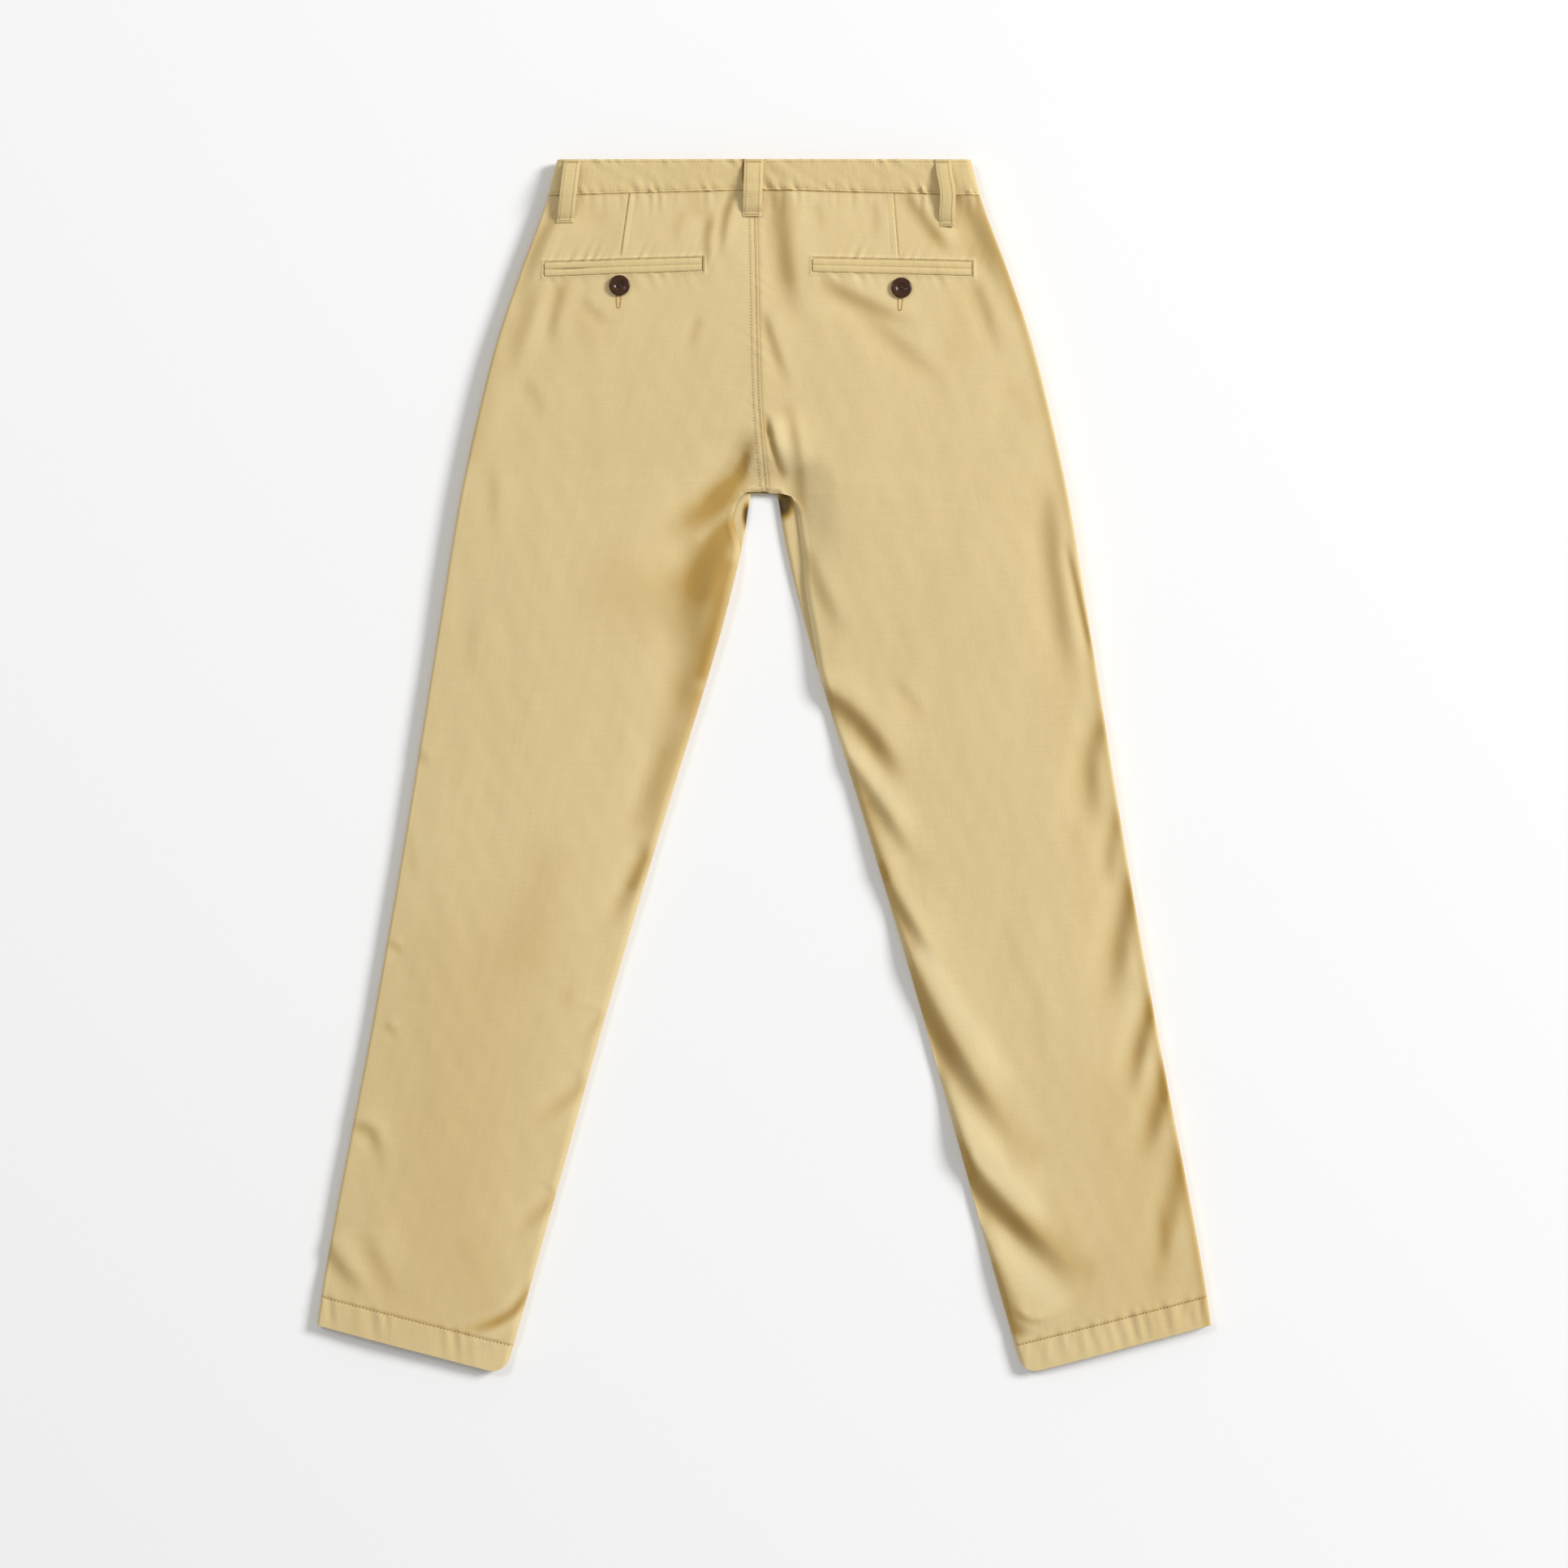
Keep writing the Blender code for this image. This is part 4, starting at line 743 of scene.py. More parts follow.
def make_weave():
    """Diagonal ribs and uneven yarn, as a height and as a shade."""
    made = {"Height": "Float", "Shade": "Float"}
    group, given, end = new_group("Twill weave", {"Cloth": "Vector"}, made)
    cloth = given["Cloth"]
    split = node(group, "ShaderNodeSeparateXYZ", Vector=cloth).outputs
    slant = maths(group, "MULTIPLY_ADD", split["X"], 0.9, split["Y"])
    wobble = stretched_noise(group, cloth, 160, 160)
    slant = maths(group, "MULTIPLY_ADD", wobble, RIB_PITCH, slant)
    turns = maths(group, "DIVIDE", slant, RIB_PITCH)
    ribs = maths(group, "SINE", maths(group, "MULTIPLY", turns, math.tau))
    weft = stretched_noise(group, cloth, 500, 1500, 1.0)
    warp = stretched_noise(group, cloth, 1500, 420, 1.0)
    yarn = maths(group, "ADD", weft, warp)
    height = maths(group, "MULTIPLY_ADD", ribs, 0.22, yarn)
    fill(group, end, Height=height, Shade=maths(group, "MULTIPLY_ADD", ribs, 0.12, yarn))
    return group


def make_tone_and_painted_light():
    """Colour between deep and pale; above 0 it pales for wear and painted highlight, below 0
    painted shade.
    """
    tones = dict.fromkeys(("Deep", "Body", "Pale", "Hollow"), "Color")
    group, given, end = new_group(
        "Washed colour",
        {"Cloth": "Vector", "Shade": "Float", "Wear": "Float", **tones},
        {"Color": "Color", "Roughness": "Float"},
    )
    clouds, mottle, slub_down, slub_across = (
        stretched_noise(group, given["Cloth"], *shape)
        for shape in ((7, 5, 3.0), (55, 38, 3.0), (700, 14), (16, 620))
    )
    total = maths(group, "MAXIMUM", given["Wear"], 0.0)
    for layer, strength in (
        (clouds, 0.3), (mottle, 0.16), (slub_down, 0.36), (slub_across, 0.3),
        (given["Shade"], 0.42),
    ):
        total = maths(group, "MULTIPLY_ADD", layer, strength, total)
    tone = mixed(group, maths(group, "SUBTRACT", total, 0.49), given["Deep"], given["Pale"])
    tone = mixed(group, 0.3, tone, given["Body"])
    painted_shade = maths(group, "MULTIPLY", maths(group, "MINIMUM", given["Wear"], 0.0), -1.0)
    tone = mixed(group, painted_shade, tone, given["Hollow"])
    tone = mixed(group, maths(group, "SUBTRACT", painted_shade, 1.0), tone, DEEP_SHADE, "MULTIPLY")
    fill(group, end, Color=tone, Roughness=maths(group, "MULTIPLY_ADD", mottle, 0.16, 0.8))
    return group


weave_group, tone_and_painted_light_group = make_weave(), make_tone_and_painted_light()
print("groups:", weave_group.name, "and", tone_and_painted_light_group.name)

# %% [markdown]
# ## Cloth finishes
# The panels, the pressed band and the zip's tape are the same twill with other colours. Sheen
# stands for the soft fibres that catch light at a glancing angle, and two layers of bump give
# the ribs and the small crumple that is too fine for the mesh.

# %% Cloth finishes
# Painted shade tone: the body colour made deeper and warmer, as in shade lit by nearby cloth.
PAINTED_SHADE_TINT = (0.61, 0.464, 0.168)


def twill_finish(name, deep, body, pale, crumple=0.12):
    finish, tree, shader = new_finish(
        name, Sheen__Weight=0.12, Sheen__Roughness=0.6, Specular__IOR__Level=0.25
    )
    cloth = node(tree, "ShaderNodeUVMap", uv_map="cloth").outputs["UV"]
    wear = node(tree, "ShaderNodeAttribute", attribute_name="wear").outputs["Fac"]
    weave = node(tree, "ShaderNodeGroup", node_tree=weave_group, Cloth=cloth).outputs
    hollow = [tint * part for tint, part in zip(PAINTED_SHADE_TINT, body)]
    tone_and_painted_light = node(
        tree, "ShaderNodeGroup", node_tree=tone_and_painted_light_group, Cloth=cloth, Wear=wear,
        Shade=weave["Shade"], Deep=(*deep, 1), Body=(*body, 1), Pale=(*pale, 1),
        Hollow=(*hollow, 1),
    ).outputs
    creases = stretched_noise(tree, cloth, 120, 75, 4.0)
    rumple = node(tree, "ShaderNodeBump", Strength=crumple, Distance=0.0016, Height=creases)
    grain = node(
        tree, "ShaderNodeBump", Strength=0.22, Distance=0.0005, Height=weave["Height"],
        Normal=rumple.outputs[0],
    )
    fill(
        tree, shader, Normal=grain.outputs[0], Base__Color=tone_and_painted_light["Color"],
        Roughness=tone_and_painted_light["Roughness"],
    )
    return finish


panel_twill = twill_finish(
    "sand twill", (0.575, 0.42, 0.185), (0.662, 0.505, 0.244), (0.765, 0.63, 0.352)
)
band_twill = twill_finish(
    "pressed twill", (0.56, 0.41, 0.175), (0.65, 0.50, 0.235), (0.74, 0.595, 0.31), crumple=0.45
)
tape_weave = twill_finish("zip tape", (0.36, 0.27, 0.13), (0.45, 0.34, 0.17), (0.5, 0.39, 0.2))
print("cloth finishes:", panel_twill.name, band_twill.name, tape_weave.name)

# %% [markdown]
# ## A maker for every cloth piece
# A piece of cloth starts as a flat grid. Its points move to where the cloth lies, its UV map is
# the flat cut in metres, and Solidify gives the wall. Each point carries a value that pales worn
# edges and also holds painted shade and painted highlight. Each piece stands for its plain solid,
# which is hidden. Its surface is kept, so that thread, loops and welts can lie on it.

# %% The cloth maker
surfaces = {}
MERGE = 2e-5                # metres within which two points of a piece are one


def values_of(items, name, width=3):
    """One property of many mesh items, a row for each."""
    values = np.empty(len(items) * width)
    items.foreach_get(name, values)
    return values.reshape(-1, width)


def edit_mesh(*tools):
    """Mesh tools in edit mode, each on the whole mesh."""
    bpy.ops.object.mode_set(mode="EDIT")
    for tool in tools:
        bpy.ops.mesh.select_all(action="SELECT")
        tool()
    bpy.ops.object.mode_set(mode="OBJECT")


def press_in(piece, relief, reach):
    """Finer faces along the lines of a relief, and the relief pressed into them."""
    mesh = piece.data
    chosen = reach(*values_of(mesh.polygons, "center").T[:2] / MM)
    bpy.ops.object.mode_set(mode="EDIT")
    bpy.ops.mesh.select_mode(type="FACE")
    bpy.ops.mesh.select_all(action="DESELECT")
    bpy.ops.object.mode_set(mode="OBJECT")
    mesh.polygons.foreach_set("select", chosen)
    bpy.ops.object.mode_set(mode="EDIT")
    bpy.ops.mesh.subdivide(number_cuts=2)
    bpy.ops.object.mode_set(mode="OBJECT")
    points = values_of(mesh.vertices, "co")
    pressed = relief(points[:, 0] / MM, points[:, 1] / MM)
    points[:, 2] += pressed * MM
    mesh.vertices.foreach_set("co", points.ravel())
    # The colour follows the relief: painted shade in its grooves, painted highlight on its ledges.
    wear = mesh.attributes["wear"].data
    painted_light_and_wear = values_of(wear, "value", 1)[:, 0] + np.clip(0.85 * pressed, -0.6, 0.15)
    wear.foreach_set("value", painted_light_and_wear)
    mesh.update()


def cloth_piece(name, grid, wall, finish, up=True, outward=False, wear=None, fine=None):
    """A grid of cloth at x, y, z in millimetres; u and v are its place in the flat cut."""
    x, y, z, u, v = grid
    count_down, count_across = x.shape
    deselect()
    bpy.ops.mesh.primitive_grid_add(
        x_subdivisions=count_across - 1, y_subdivisions=count_down - 1, size=1
    )
    piece = bpy.context.object
    mesh = piece.data
    piece.name = mesh.name = name
    points = np.stack([x, y, z], axis=-1).reshape(-1, 3) * MM
    mesh.vertices.foreach_set("co", points.ravel())
    corners = np.empty(len(mesh.loops), int)
    mesh.loops.foreach_get("vertex_index", corners)
    flat = np.stack([u.ravel()[corners], v.ravel()[corners]], axis=1) * MM
    mesh.uv_layers[0].name = "cloth"
    mesh.uv_layers[0].data.foreach_set("uv", flat.ravel())
    # A value for each point: paler where worn, with painted shade and painted highlight mixed in.
    wear_and_light_attribute = mesh.attributes.new("wear", "FLOAT", "POINT")
    wear_and_light_attribute.data.foreach_set("value", np.zeros(x.size) if wear is None else wear.ravel())
    middle = (count_down // 2) * count_across + count_across // 2
    ahead, down = (points[middle + step] - points[middle] for step in (1, count_across))
    if (np.cross(ahead, down)[2] > 0) != up:
        mesh.flip_normals()
    mesh.update()
    edit_mesh(lambda: bpy.ops.mesh.remove_doubles(threshold=MERGE))
    if fine is not None:
        press_in(piece, *fine)
    solidify = piece.modifiers.new("Wall", "SOLIDIFY")
    solidify.thickness = wall * MM
    solidify.offset = 1.0 if outward else -1.0
    solidify.use_quality_normals = True
    bpy.ops.object.modifier_apply(modifier="Wall")
    bpy.ops.object.shade_smooth_by_angle(angle=math.radians(50))
    mesh.materials.append(finish)
    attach(piece, "root")
    return piece


def stands_for(piece, node_name, slot, cut, area):
    """The piece takes the solid's place: the solid is hidden."""
    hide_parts(node_name)


def flat_cut(u, v):
    """Width, length and area of the flat cut in metres, from its UV map."""
    du, dv = np.diff(u, axis=1)[:-1], np.diff(v, axis=0)[:, :-1]
    area = float(np.abs(du * dv).sum()) * MM * MM
    width, length = float(np.ptp(u)) * MM, float(np.ptp(v)) * MM
    return (width, length), min(area, 0.999 * width * length)


def lay_cloth(name, node_name, slot, grid, wall, finish, cut=None, **form):
    """A cloth piece in a solid's place, with its surface kept."""
    piece = cloth_piece(name, grid, wall, finish, **form)
    stands_for(piece, node_name, slot, *(cut or flat_cut(*grid[3:])))
    points = values_of(piece.data.vertices, "co")
    faces = [tuple(face.vertices) for face in piece.data.polygons]
    surfaces[name] = BVHTree.FromPolygons(points.tolist(), faces)
    print(name, "stands for", node_name, "with", len(faces), "faces")
    return piece


def meet(names, x, y, below=False):
    """The outermost of these pieces from above or below, at x, y in millimetres; its normal."""
    way = -1 if below else 1
    start, ahead = Vector((x * MM, y * MM, 0.2 * way)), Vector((0, 0, -way))
    hits = [surfaces[name].ray_cast(start, ahead)[:2] for name in names]
    hits = [hit for hit in hits if hit[0] is not None]
    return max(hits, key=lambda hit: way * hit[0].z, default=None)


print("the cloth maker is ready")

# %% [markdown]
# ## Back and front panels with their hems
# The backs carry nearly all that shows, so they get a fine grid. The fronts lie flat beneath
# them and turn up at the seams. At the crotch the front's edge turns over and shows as a narrow
# strip beside the back. The turned-up hems are thicker strips below the hem line.

# %% Back panels
STEP_DOWN, STEP_ACROSS = ((2.8, 2.9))
CROTCH_TOP, CROTCH_LOW = 262.0, 214.0       # between them the rows are a millimetre apart
CUT_GAP, CUT_BAND, CUT_WELT, CUT_FLY = 733.0, 300.0, 211.0, 55.0    # places in the flat cut
POCKET_LENGTH, POCKET_DEPTH, POCKET_GAPE = 143.0, 11.6, 0.16
crotch_rows = np.arange(CROTCH_TOP, CROTCH_LOW, -1.0)
Dart = namedtuple("Dart", "side x_top y_top x_low y_low")
DARTS = (Dart(LEFT, -120.9, 516.0, -129.0, 458.0), Dart(RIGHT, 115.8, 516.0, 120.6, 454.0))
Welt = namedtuple("Welt", "side out_x out_top out_bottom in_x in_top in_bottom gape")
WELTS = (
    Welt("left", -198.0, 453.4, 441.9, -56.0, 457.8, 446.7, 1.0),
    Welt("right", 187.4, 454.2, 442.6, 44.0, 457.0, 445.6, 0.2),
)


def welt_edges(welt, along):
    """Heights of the pocket's top and bottom edges, at a share along it from its outer end."""
    top = welt.out_top + along * (welt.in_top - welt.out_top)
    return top, welt.out_bottom + along * (welt.in_bottom - welt.out_bottom)


def welt_place(welt, x, y):
    """Share along the pocket from its outer end, and share down from its top edge."""
    along = (x - welt.out_x) / (welt.in_x - welt.out_x)
    top, bottom = welt_edges(welt, along)
    return along, (top - y) / (top - bottom)


def welt_spot(welt, along, down):
    """The place on the pocket for these two shares."""
    top, bottom = welt_edges(welt, along)
    return welt.out_x + along * (welt.in_x - welt.out_x), top + down * (bottom - top)


def dart_distance(dart, x, y):
    lean = (dart.x_low - dart.x_top) / (dart.y_low - dart.y_top)
    return x - dart.x_top - lean * (y - dart.y_top)


def seam_reliefs(side):
    """Darts and pocket edges: narrow ledges and grooves, and the place where they are."""
    dart = next(dart for dart in DARTS if dart.side == side)
    welt = next(welt for welt in WELTS if SIDES[welt.side] == side)

    def relief(x, y):
        off = dart_distance(dart, x, y)
        fade = smoothstep(dart.y_low - 2.0, dart.y_low + 8.0, y)
        over = -off if side == LEFT else off
        ledge = 0.6 * np.where(over < 0, np.exp(over / 4.0), ridge(over, 0.5))
        second = -0.2 * ridge(over + 5.0, 0.9)
        total = fade * (ledge + second - 0.65 * ridge(over - 0.9, 0.75))
        along, down = welt_place(welt, x, y)
        to_end = (np.abs(along - 0.5) - 0.5) * POCKET_LENGTH
        to_edge = np.maximum((np.abs(down - 0.5) - 0.5) * POCKET_DEPTH, to_end)
        border = 0.55 * ridge(to_edge - 2.4, 1.3) - 0.75 * ridge(to_edge, 0.85)
        mouth = -1.5 * welt.gape * ridge(along - POCKET_GAPE, 0.14) - 0.4
        inside = np.clip(-to_edge, 0.0, 1.0)
        return total + border + inside * mouth * ridge((down - 0.5) * POCKET_DEPTH, 1.0)

    def reach(x, y):
        along, down = welt_place(welt, x, y)
        pocket = (np.abs(along - 0.5) < 0.535) & (np.abs(down - 0.5) < 0.95)
        return pocket | ((np.abs(dart_distance(dart, x, y) + 1.0) < 6.5) & (y > dart.y_low - 4.0))

    return relief, reach


def panel_places(step_above, step_below, every):
    """Rows from the waist seam to the hem line, closer together at the crotch."""
    upper = steps_down(WAIST_SIDE_Y - SEAM / 2, CROTCH_TOP, step_above, fine_end=False)
    lower = steps_down(CROTCH_LOW, HEM_LINE.side_y + SEAM / 2, step_below, fine_start=False)
    return np.concatenate((upper, crotch_rows[every::every], lower))


def hem_places(step):
    return steps_down(HEM_LINE.side_y - SEAM / 2, HEM_END.side_y, step, fine_end=False)


def back_grid(side, side_y):
    rows = Rows(side, side_y, centre_back)
    distance = steps_across(rows.width - inset_at(side, rows.y1), STEP_ACROSS)
    x, y = rows.place(distance)
    z = back_height(rows, x, y, distance)
    turn = crotch_turn(rows.y1)[:, None]
    x, y = (columns(a[:, :1], a, a[:, -1:]) for a in (x, y))
    z = columns(z[:, :1] - RIM, z, z[:, -1:] - RIM * turn)
    u = columns(distance[:, :1] - RIM, distance, distance[:, -1:] + RIM)
    return x, y, z, u, np.broadcast_to(side_y[:, None], u.shape)


def painted_light_tones(side, x, y, to_ends):
    """Painted highlight on the crests of folds, painted shade in the hollows and along every seam.
    """
    from_side = side_x(y) - np.abs(x)
    # Painted shade along the right back's side edge, where the light falls strongest.
    seam_shade = (-0.34 if side == RIGHT else 0.0) * ridge(from_side - 4.0, 5.0)
    to_thread = centre_back_x(y) - x - (FELL_ROWS[0] if side == LEFT else 0.0)
    seam_shade -= 0.3 * smoothstep(CROTCH_Y, CROTCH_Y + 5.0, y) * ridge(to_thread, 1.0)
    seam_shade -= 0.3 * ridge(to_ends[:, None], 1.2)
    return np.clip(fold_forms(x, y)[1] + seam_shade + soft_shades(x, y), -0.9, 0.55)


for name, side in SIDES.items():
    places = panel_places(STEP_DOWN, STEP_DOWN, 1)
    x, y, z, u, v = back_grid(side, places)
    painted_light_and_wear = painted_light_tones(side, x, y, np.minimum(places[0] - places, places - places[-1]))
    lay_cloth(
        f"back_panel_{name}", f"back_{name}", "twill",
        (x, y, z, u + CUT_GAP * (side == RIGHT), v), PANEL_WALL, panel_twill, wear=painted_light_and_wear,
        fine=seam_reliefs(side),
    )

# %% Hems of the backs
for name, side in SIDES.items():
    places = hem_places(2.0)
    grid = back_grid(side, places)
    lay_cloth(
        f"back_hem_{name}", f"hem_back_{name}", "twill", grid, HEM_WALL, panel_twill,
        wear=painted_light_tones(side, *grid[:2], places[0] - places) + 0.03,
    )

# %% Front panels and their hems
SLANT_TOP_X, SLANT_BOTTOM, SLANT_CURVE = 148.0, 352.0, 1.35
WRAP = np.array([0.08, 0.18, 0.3, 0.45, 0.6, 0.75, 0.92, 1.0])


def slant_start(side_y):
    """How far inside the side seam the front starts, at its slant pocket."""
    share = np.clip((side_y - SLANT_BOTTOM) / (WAIST_SIDE_Y - SLANT_BOTTOM), 0.0, 1.0)
    opened = smoothstep(SLANT_BOTTOM + 16.0, SLANT_BOTTOM + 24.0, side_y)
    return opened * share**SLANT_CURVE * (float(side_x(WAIST_SIDE_Y)) - SLANT_TOP_X)


def fly_rise(side, x, y):
    """The right front lifts by one wall where it passes behind the left."""
    if side == LEFT:
        return 0.0
    near = 1 - smoothstep(*FLY_RAMP, x)
    return (PANEL_WALL + CAD_GAP) * near * smoothstep(CROTCH_Y + 14.0, FLY_RISE, y)


def painted_crotch_shadow(x, y):
    """Painted shadow on the strip beside the crotch, deepest where it sinks behind the back's
    edge.
    """
    right = 1.1 * ridge(x - 18.0, 9.0) * ridge(y - 236.0, 14.0)
    left = 1.1 * ridge(x + 15.5, 4.5) * ridge(y - 226.0, 13.0)
    return -2.0 * smoothstep(0.2, 0.9, right + left)


def front_grid(side, side_y, step):
    """The front, and at its inner edge the turn-over that reaches up to the back."""
    start = slant_start(side_y)
    rows = Rows(side, side_y, centre_front, start)
    distance = steps_across(rows.width, step)
    x, y = rows.place(distance)
    z = front_height(rows, distance + start[:, None], to_inner_line(x, y)) + fly_rise(side, x, y)
    turn = crotch_turn(rows.y1)[:, None]
    inset = inset_at(side, rows.y1)[:, None] * turn
    side_turn = np.where(side_y <= SLANT_BOTTOM + 18.0, 1.0, 0.0)[:, None]
    wrap_x, wrap_y = rows.place(rows.width[:, None] - inset * WRAP)
    arch = np.minimum(1.0, 5.0 * WRAP) * 0.1 * inset
    wrap_z = z[:, -1:] + RIM * turn * np.minimum(1.0, 0.4 + 3 * WRAP) + arch
    x, y = columns(x[:, :1], x, wrap_x), columns(y[:, :1], y, wrap_y)
    z = columns(z[:, :1] + RIM * side_turn, z, wrap_z)
    over = rows.width[:, None] + RIM * WRAP + inset * WRAP
    u = columns(distance[:, :1] - RIM, distance, over)
    return x, y, z, u, np.broadcast_to(side_y[:, None], u.shape)


for name, side in SIDES.items():
    x, y, z, u, v = front_grid(side, panel_places(5.0, 6.0, 2), 6.0)
    lay_cloth(
        f"front_panel_{name}", f"front_{name}", "twill",
        (x, y, z, u + CUT_GAP * (2 + (side == RIGHT)), v), PANEL_WALL, panel_twill,
        up=False, wear=painted_crotch_shadow(x, y),
    )
    lay_cloth(
        f"front_hem_{name}", f"hem_front_{name}", "twill",
        front_grid(side, hem_places(3.0), 5.0), HEM_WALL, panel_twill, up=False,
    )

# %% [markdown]
# ## Slant pocket facings, waistband and its insert
# The facing is the cloth that shows inside a slant pocket. The waistband is one long strip on
# each side, which starts at the short insert of the centre back, turns round the side and comes
# back underneath to the fly. The right end lies behind the left one.

# %% Facings and waistband
FACING_INSIDE = 24.0        # how far the facing reaches inside the pocket's edge

for name, side in SIDES.items():
    side_y = spread(WAIST_SIDE_Y - SEAM / 2, SLANT_BOTTOM + 17.0, 6.0)
    rows = Rows(side, side_y, centre_back)
    reach = slant_start(side_y)[:, None] + FACING_INSIDE
    rest = np.linspace(0.0, 1.0, 6)[1:][None]
    edge = np.tile(EDGE_STEPS, (len(side_y), 1))
    distance = columns(edge, EDGE_STEPS[-1] + rest * (reach - EDGE_STEPS[-1]))
    x, y = (columns(a[:, :1], a) for a in rows.place(distance))
    height = front_height(rows, distance, np.full_like(distance, CURL))
    z = np.maximum(height, base_z(side_y)[:, None] + PANEL_WALL + CAD_GAP)
    u = columns(distance[:, :1] - RIM, distance)
    v = np.broadcast_to(side_y[:, None], u.shape)
    lay_cloth(
        f"slant_facing_{name}", f"pocket_facing_{name}", "twill",
        (x, y, columns(z[:, :1] + RIM, z), u, v), PANEL_WALL, panel_twill, up=False,
    )

BAND_INSERT, BAND_STEP_X, BAND_END = (-28.3, 7.0), 14.0, -34.0
BAND_ROW = 2.9              # from the waist seam to the stitches above it
BAND_SHARES = np.array([
    0.0, 0.015, 0.033, 0.055, 0.08, 0.11, 0.16, 0.24, 0.36, 0.5, 0.63, 0.75, 0.86, 0.93, 0.97, 1.0,
])
WIDE_SEAM, WIDE_TOP = float(side_x(WAIST_SIDE_Y)), float(side_x(WAIST_TOP))
TURN = float(shoulder(WAIST_SIDE_Y))


def waist_seam_y(x):
    return WAIST_CENTRE_Y + np.abs(x) / WIDE_SEAM * (WAIST_SIDE_Y - WAIST_CENTRE_Y)


def band_place(x, share, lift=None):
    """The outer face, share 0 at the seam and 1 at the top; a lift means the part beneath."""
    seam_y = waist_seam_y(x) + SEAM / 2
    y = seam_y + share * (WAIST_TOP - seam_y)
    wide = WIDE_SEAM + share * (WIDE_TOP - WIDE_SEAM)
    x = x * (1 + (wide / WIDE_SEAM - 1) * smoothstep(0.0, 60.0, np.abs(x)))
    from_side = np.maximum(wide - np.abs(x), 0.0)
    base, middle = float(base_z(WAIST_SIDE_Y)), float(seam_z(WAIST_SIDE_Y))
    edges = quarter_ellipse(from_side / TURN)
    if lift is not None:
        return x, y, middle - (middle - base) * edges + lift
    rise = float(top_z(WAIST_SIDE_Y)) - middle
    slow = np.sin(math.pi / 2 * np.clip(from_side / WIDE_SEAM, 0, 1)) ** 0.8
    z = middle + rise * edges * (0.72 + 0.28 * slow)
    above, below = y - seam_y, WAIST_TOP - y
    fine = 0.6 * (1 - share) ** 2 * fold_forms(x, np.minimum(y, 512.0))[0]
    fine = fine + 1.1 * soft_waves(x, 2 * y)
    fine = fine + puckers(x + 0.5 * above, above, 1.1, 9.0)
    fine = fine + puckers(x + 40 - below, below, 0.6, 7.0)
    fine = fine + puckers(0.5 * x + 0.8 * above, np.zeros_like(x), 0.4, 14.0)
    lip = 0.6 * ridge(above - 1.1, 0.8) - 0.5 * ridge(above, 0.5)
    rolled_and_sewn = -0.9 * ridge(below, 1.4) - 0.5 * ridge(above - BAND_ROW, 0.8)
    return x, y, z + edges * fine + lip + rolled_and_sewn


def running_length(xs, ys):
    return np.concatenate(([0.0], np.cumsum(np.hypot(np.diff(xs), np.diff(ys)))))


turn = WIDE_SEAM - TURN * (1 - np.sin(np.radians(np.arange(0, 90, 12.0))))
for name, side in SIDES.items():
    start = BAND_INSERT[0] - SEAM / 2 if side == LEFT else BAND_INSERT[1] + SEAM / 2
    over = np.concatenate((spread(abs(start), turn[0], 2.6)[:-1], turn, [WIDE_SEAM]))
    front_end = SEAM / 2 if side == LEFT else BAND_STEP_X
    under = np.concatenate((turn[::-1], spread(turn[0], front_end, 5.0)[1:]))
    xs = side * np.concatenate((over, under))
    lifts = np.zeros_like(xs)
    if side == RIGHT:
        tucked = spread(BAND_STEP_X - 2.0, BAND_END, 3.0)
        xs = np.concatenate((xs, tucked))
        step = (BAND_WALL + CAD_GAP) * smoothstep(BAND_STEP_X, 2.0, tucked)
        lifts = np.concatenate((lifts, step))
    X, S = np.meshgrid(xs, BAND_SHARES)
    split = len(over)
    shown = band_place(X[:, :split], S[:, :split])
    hidden = band_place(X[:, split:], S[:, split:], lifts[None, split:])
    x, y, z = (columns(*pair) for pair in zip(shown, hidden))
    u = np.broadcast_to(running_length(x[0], z[0])[None], x.shape) + CUT_BAND * side
    # Paler where the folded top is worn; painted shade along the waist seam.
    lay_cloth(
        f"waist_strip_{name}", f"waistband_{name}", "waistband", (x, y, z, u, y), BAND_WALL,
        band_twill, wear=0.1 * ridge(WAIST_TOP - y, 2.5) - 0.35 * ridge(y - y[:1], 1.0),
    )

xs = spread(BAND_INSERT[0] + SEAM / 2, BAND_INSERT[1] - SEAM / 2, 0.9)
x, y, z = band_place(*np.meshgrid(xs, BAND_SHARES))
# Painted shadow beside the centre loop's left edge, and painted shade along the waist seam.
painted_light_and_wear = -1.7 * ridge(x + 18.2, 1.5) * smoothstep(524.0, 531.0, y) - 0.35 * ridge(y - y[:1], 1.0)
lay_cloth(
    "waist_insert", "waistband_centre", "waistband", (x, y, z, x, y), BAND_WALL, band_twill,
    wear=painted_light_and_wear,
)
BACKS = ("back_panel_left", "back_panel_right")
BANDS = ("waist_strip_left", "waist_insert", "waist_strip_right")
FRONTS = ("front_panel_left", "front_panel_right")

# %% [markdown]
# ## Thread
# A sewn row is many short stitches with a small gap where the thread dives into the cloth. One
# stitch is modelled from a cylinder that is drawn in at both ends. Each row copies its points
# along a path that lies on the cloth, and becomes one light mesh.

# %% One stitch, and rows of it
THREAD = 0.34
BARTACK, WELT_STITCH = (1.1, 0.95), (2.2, 0.7)       # pitch, and the stitch's share of it


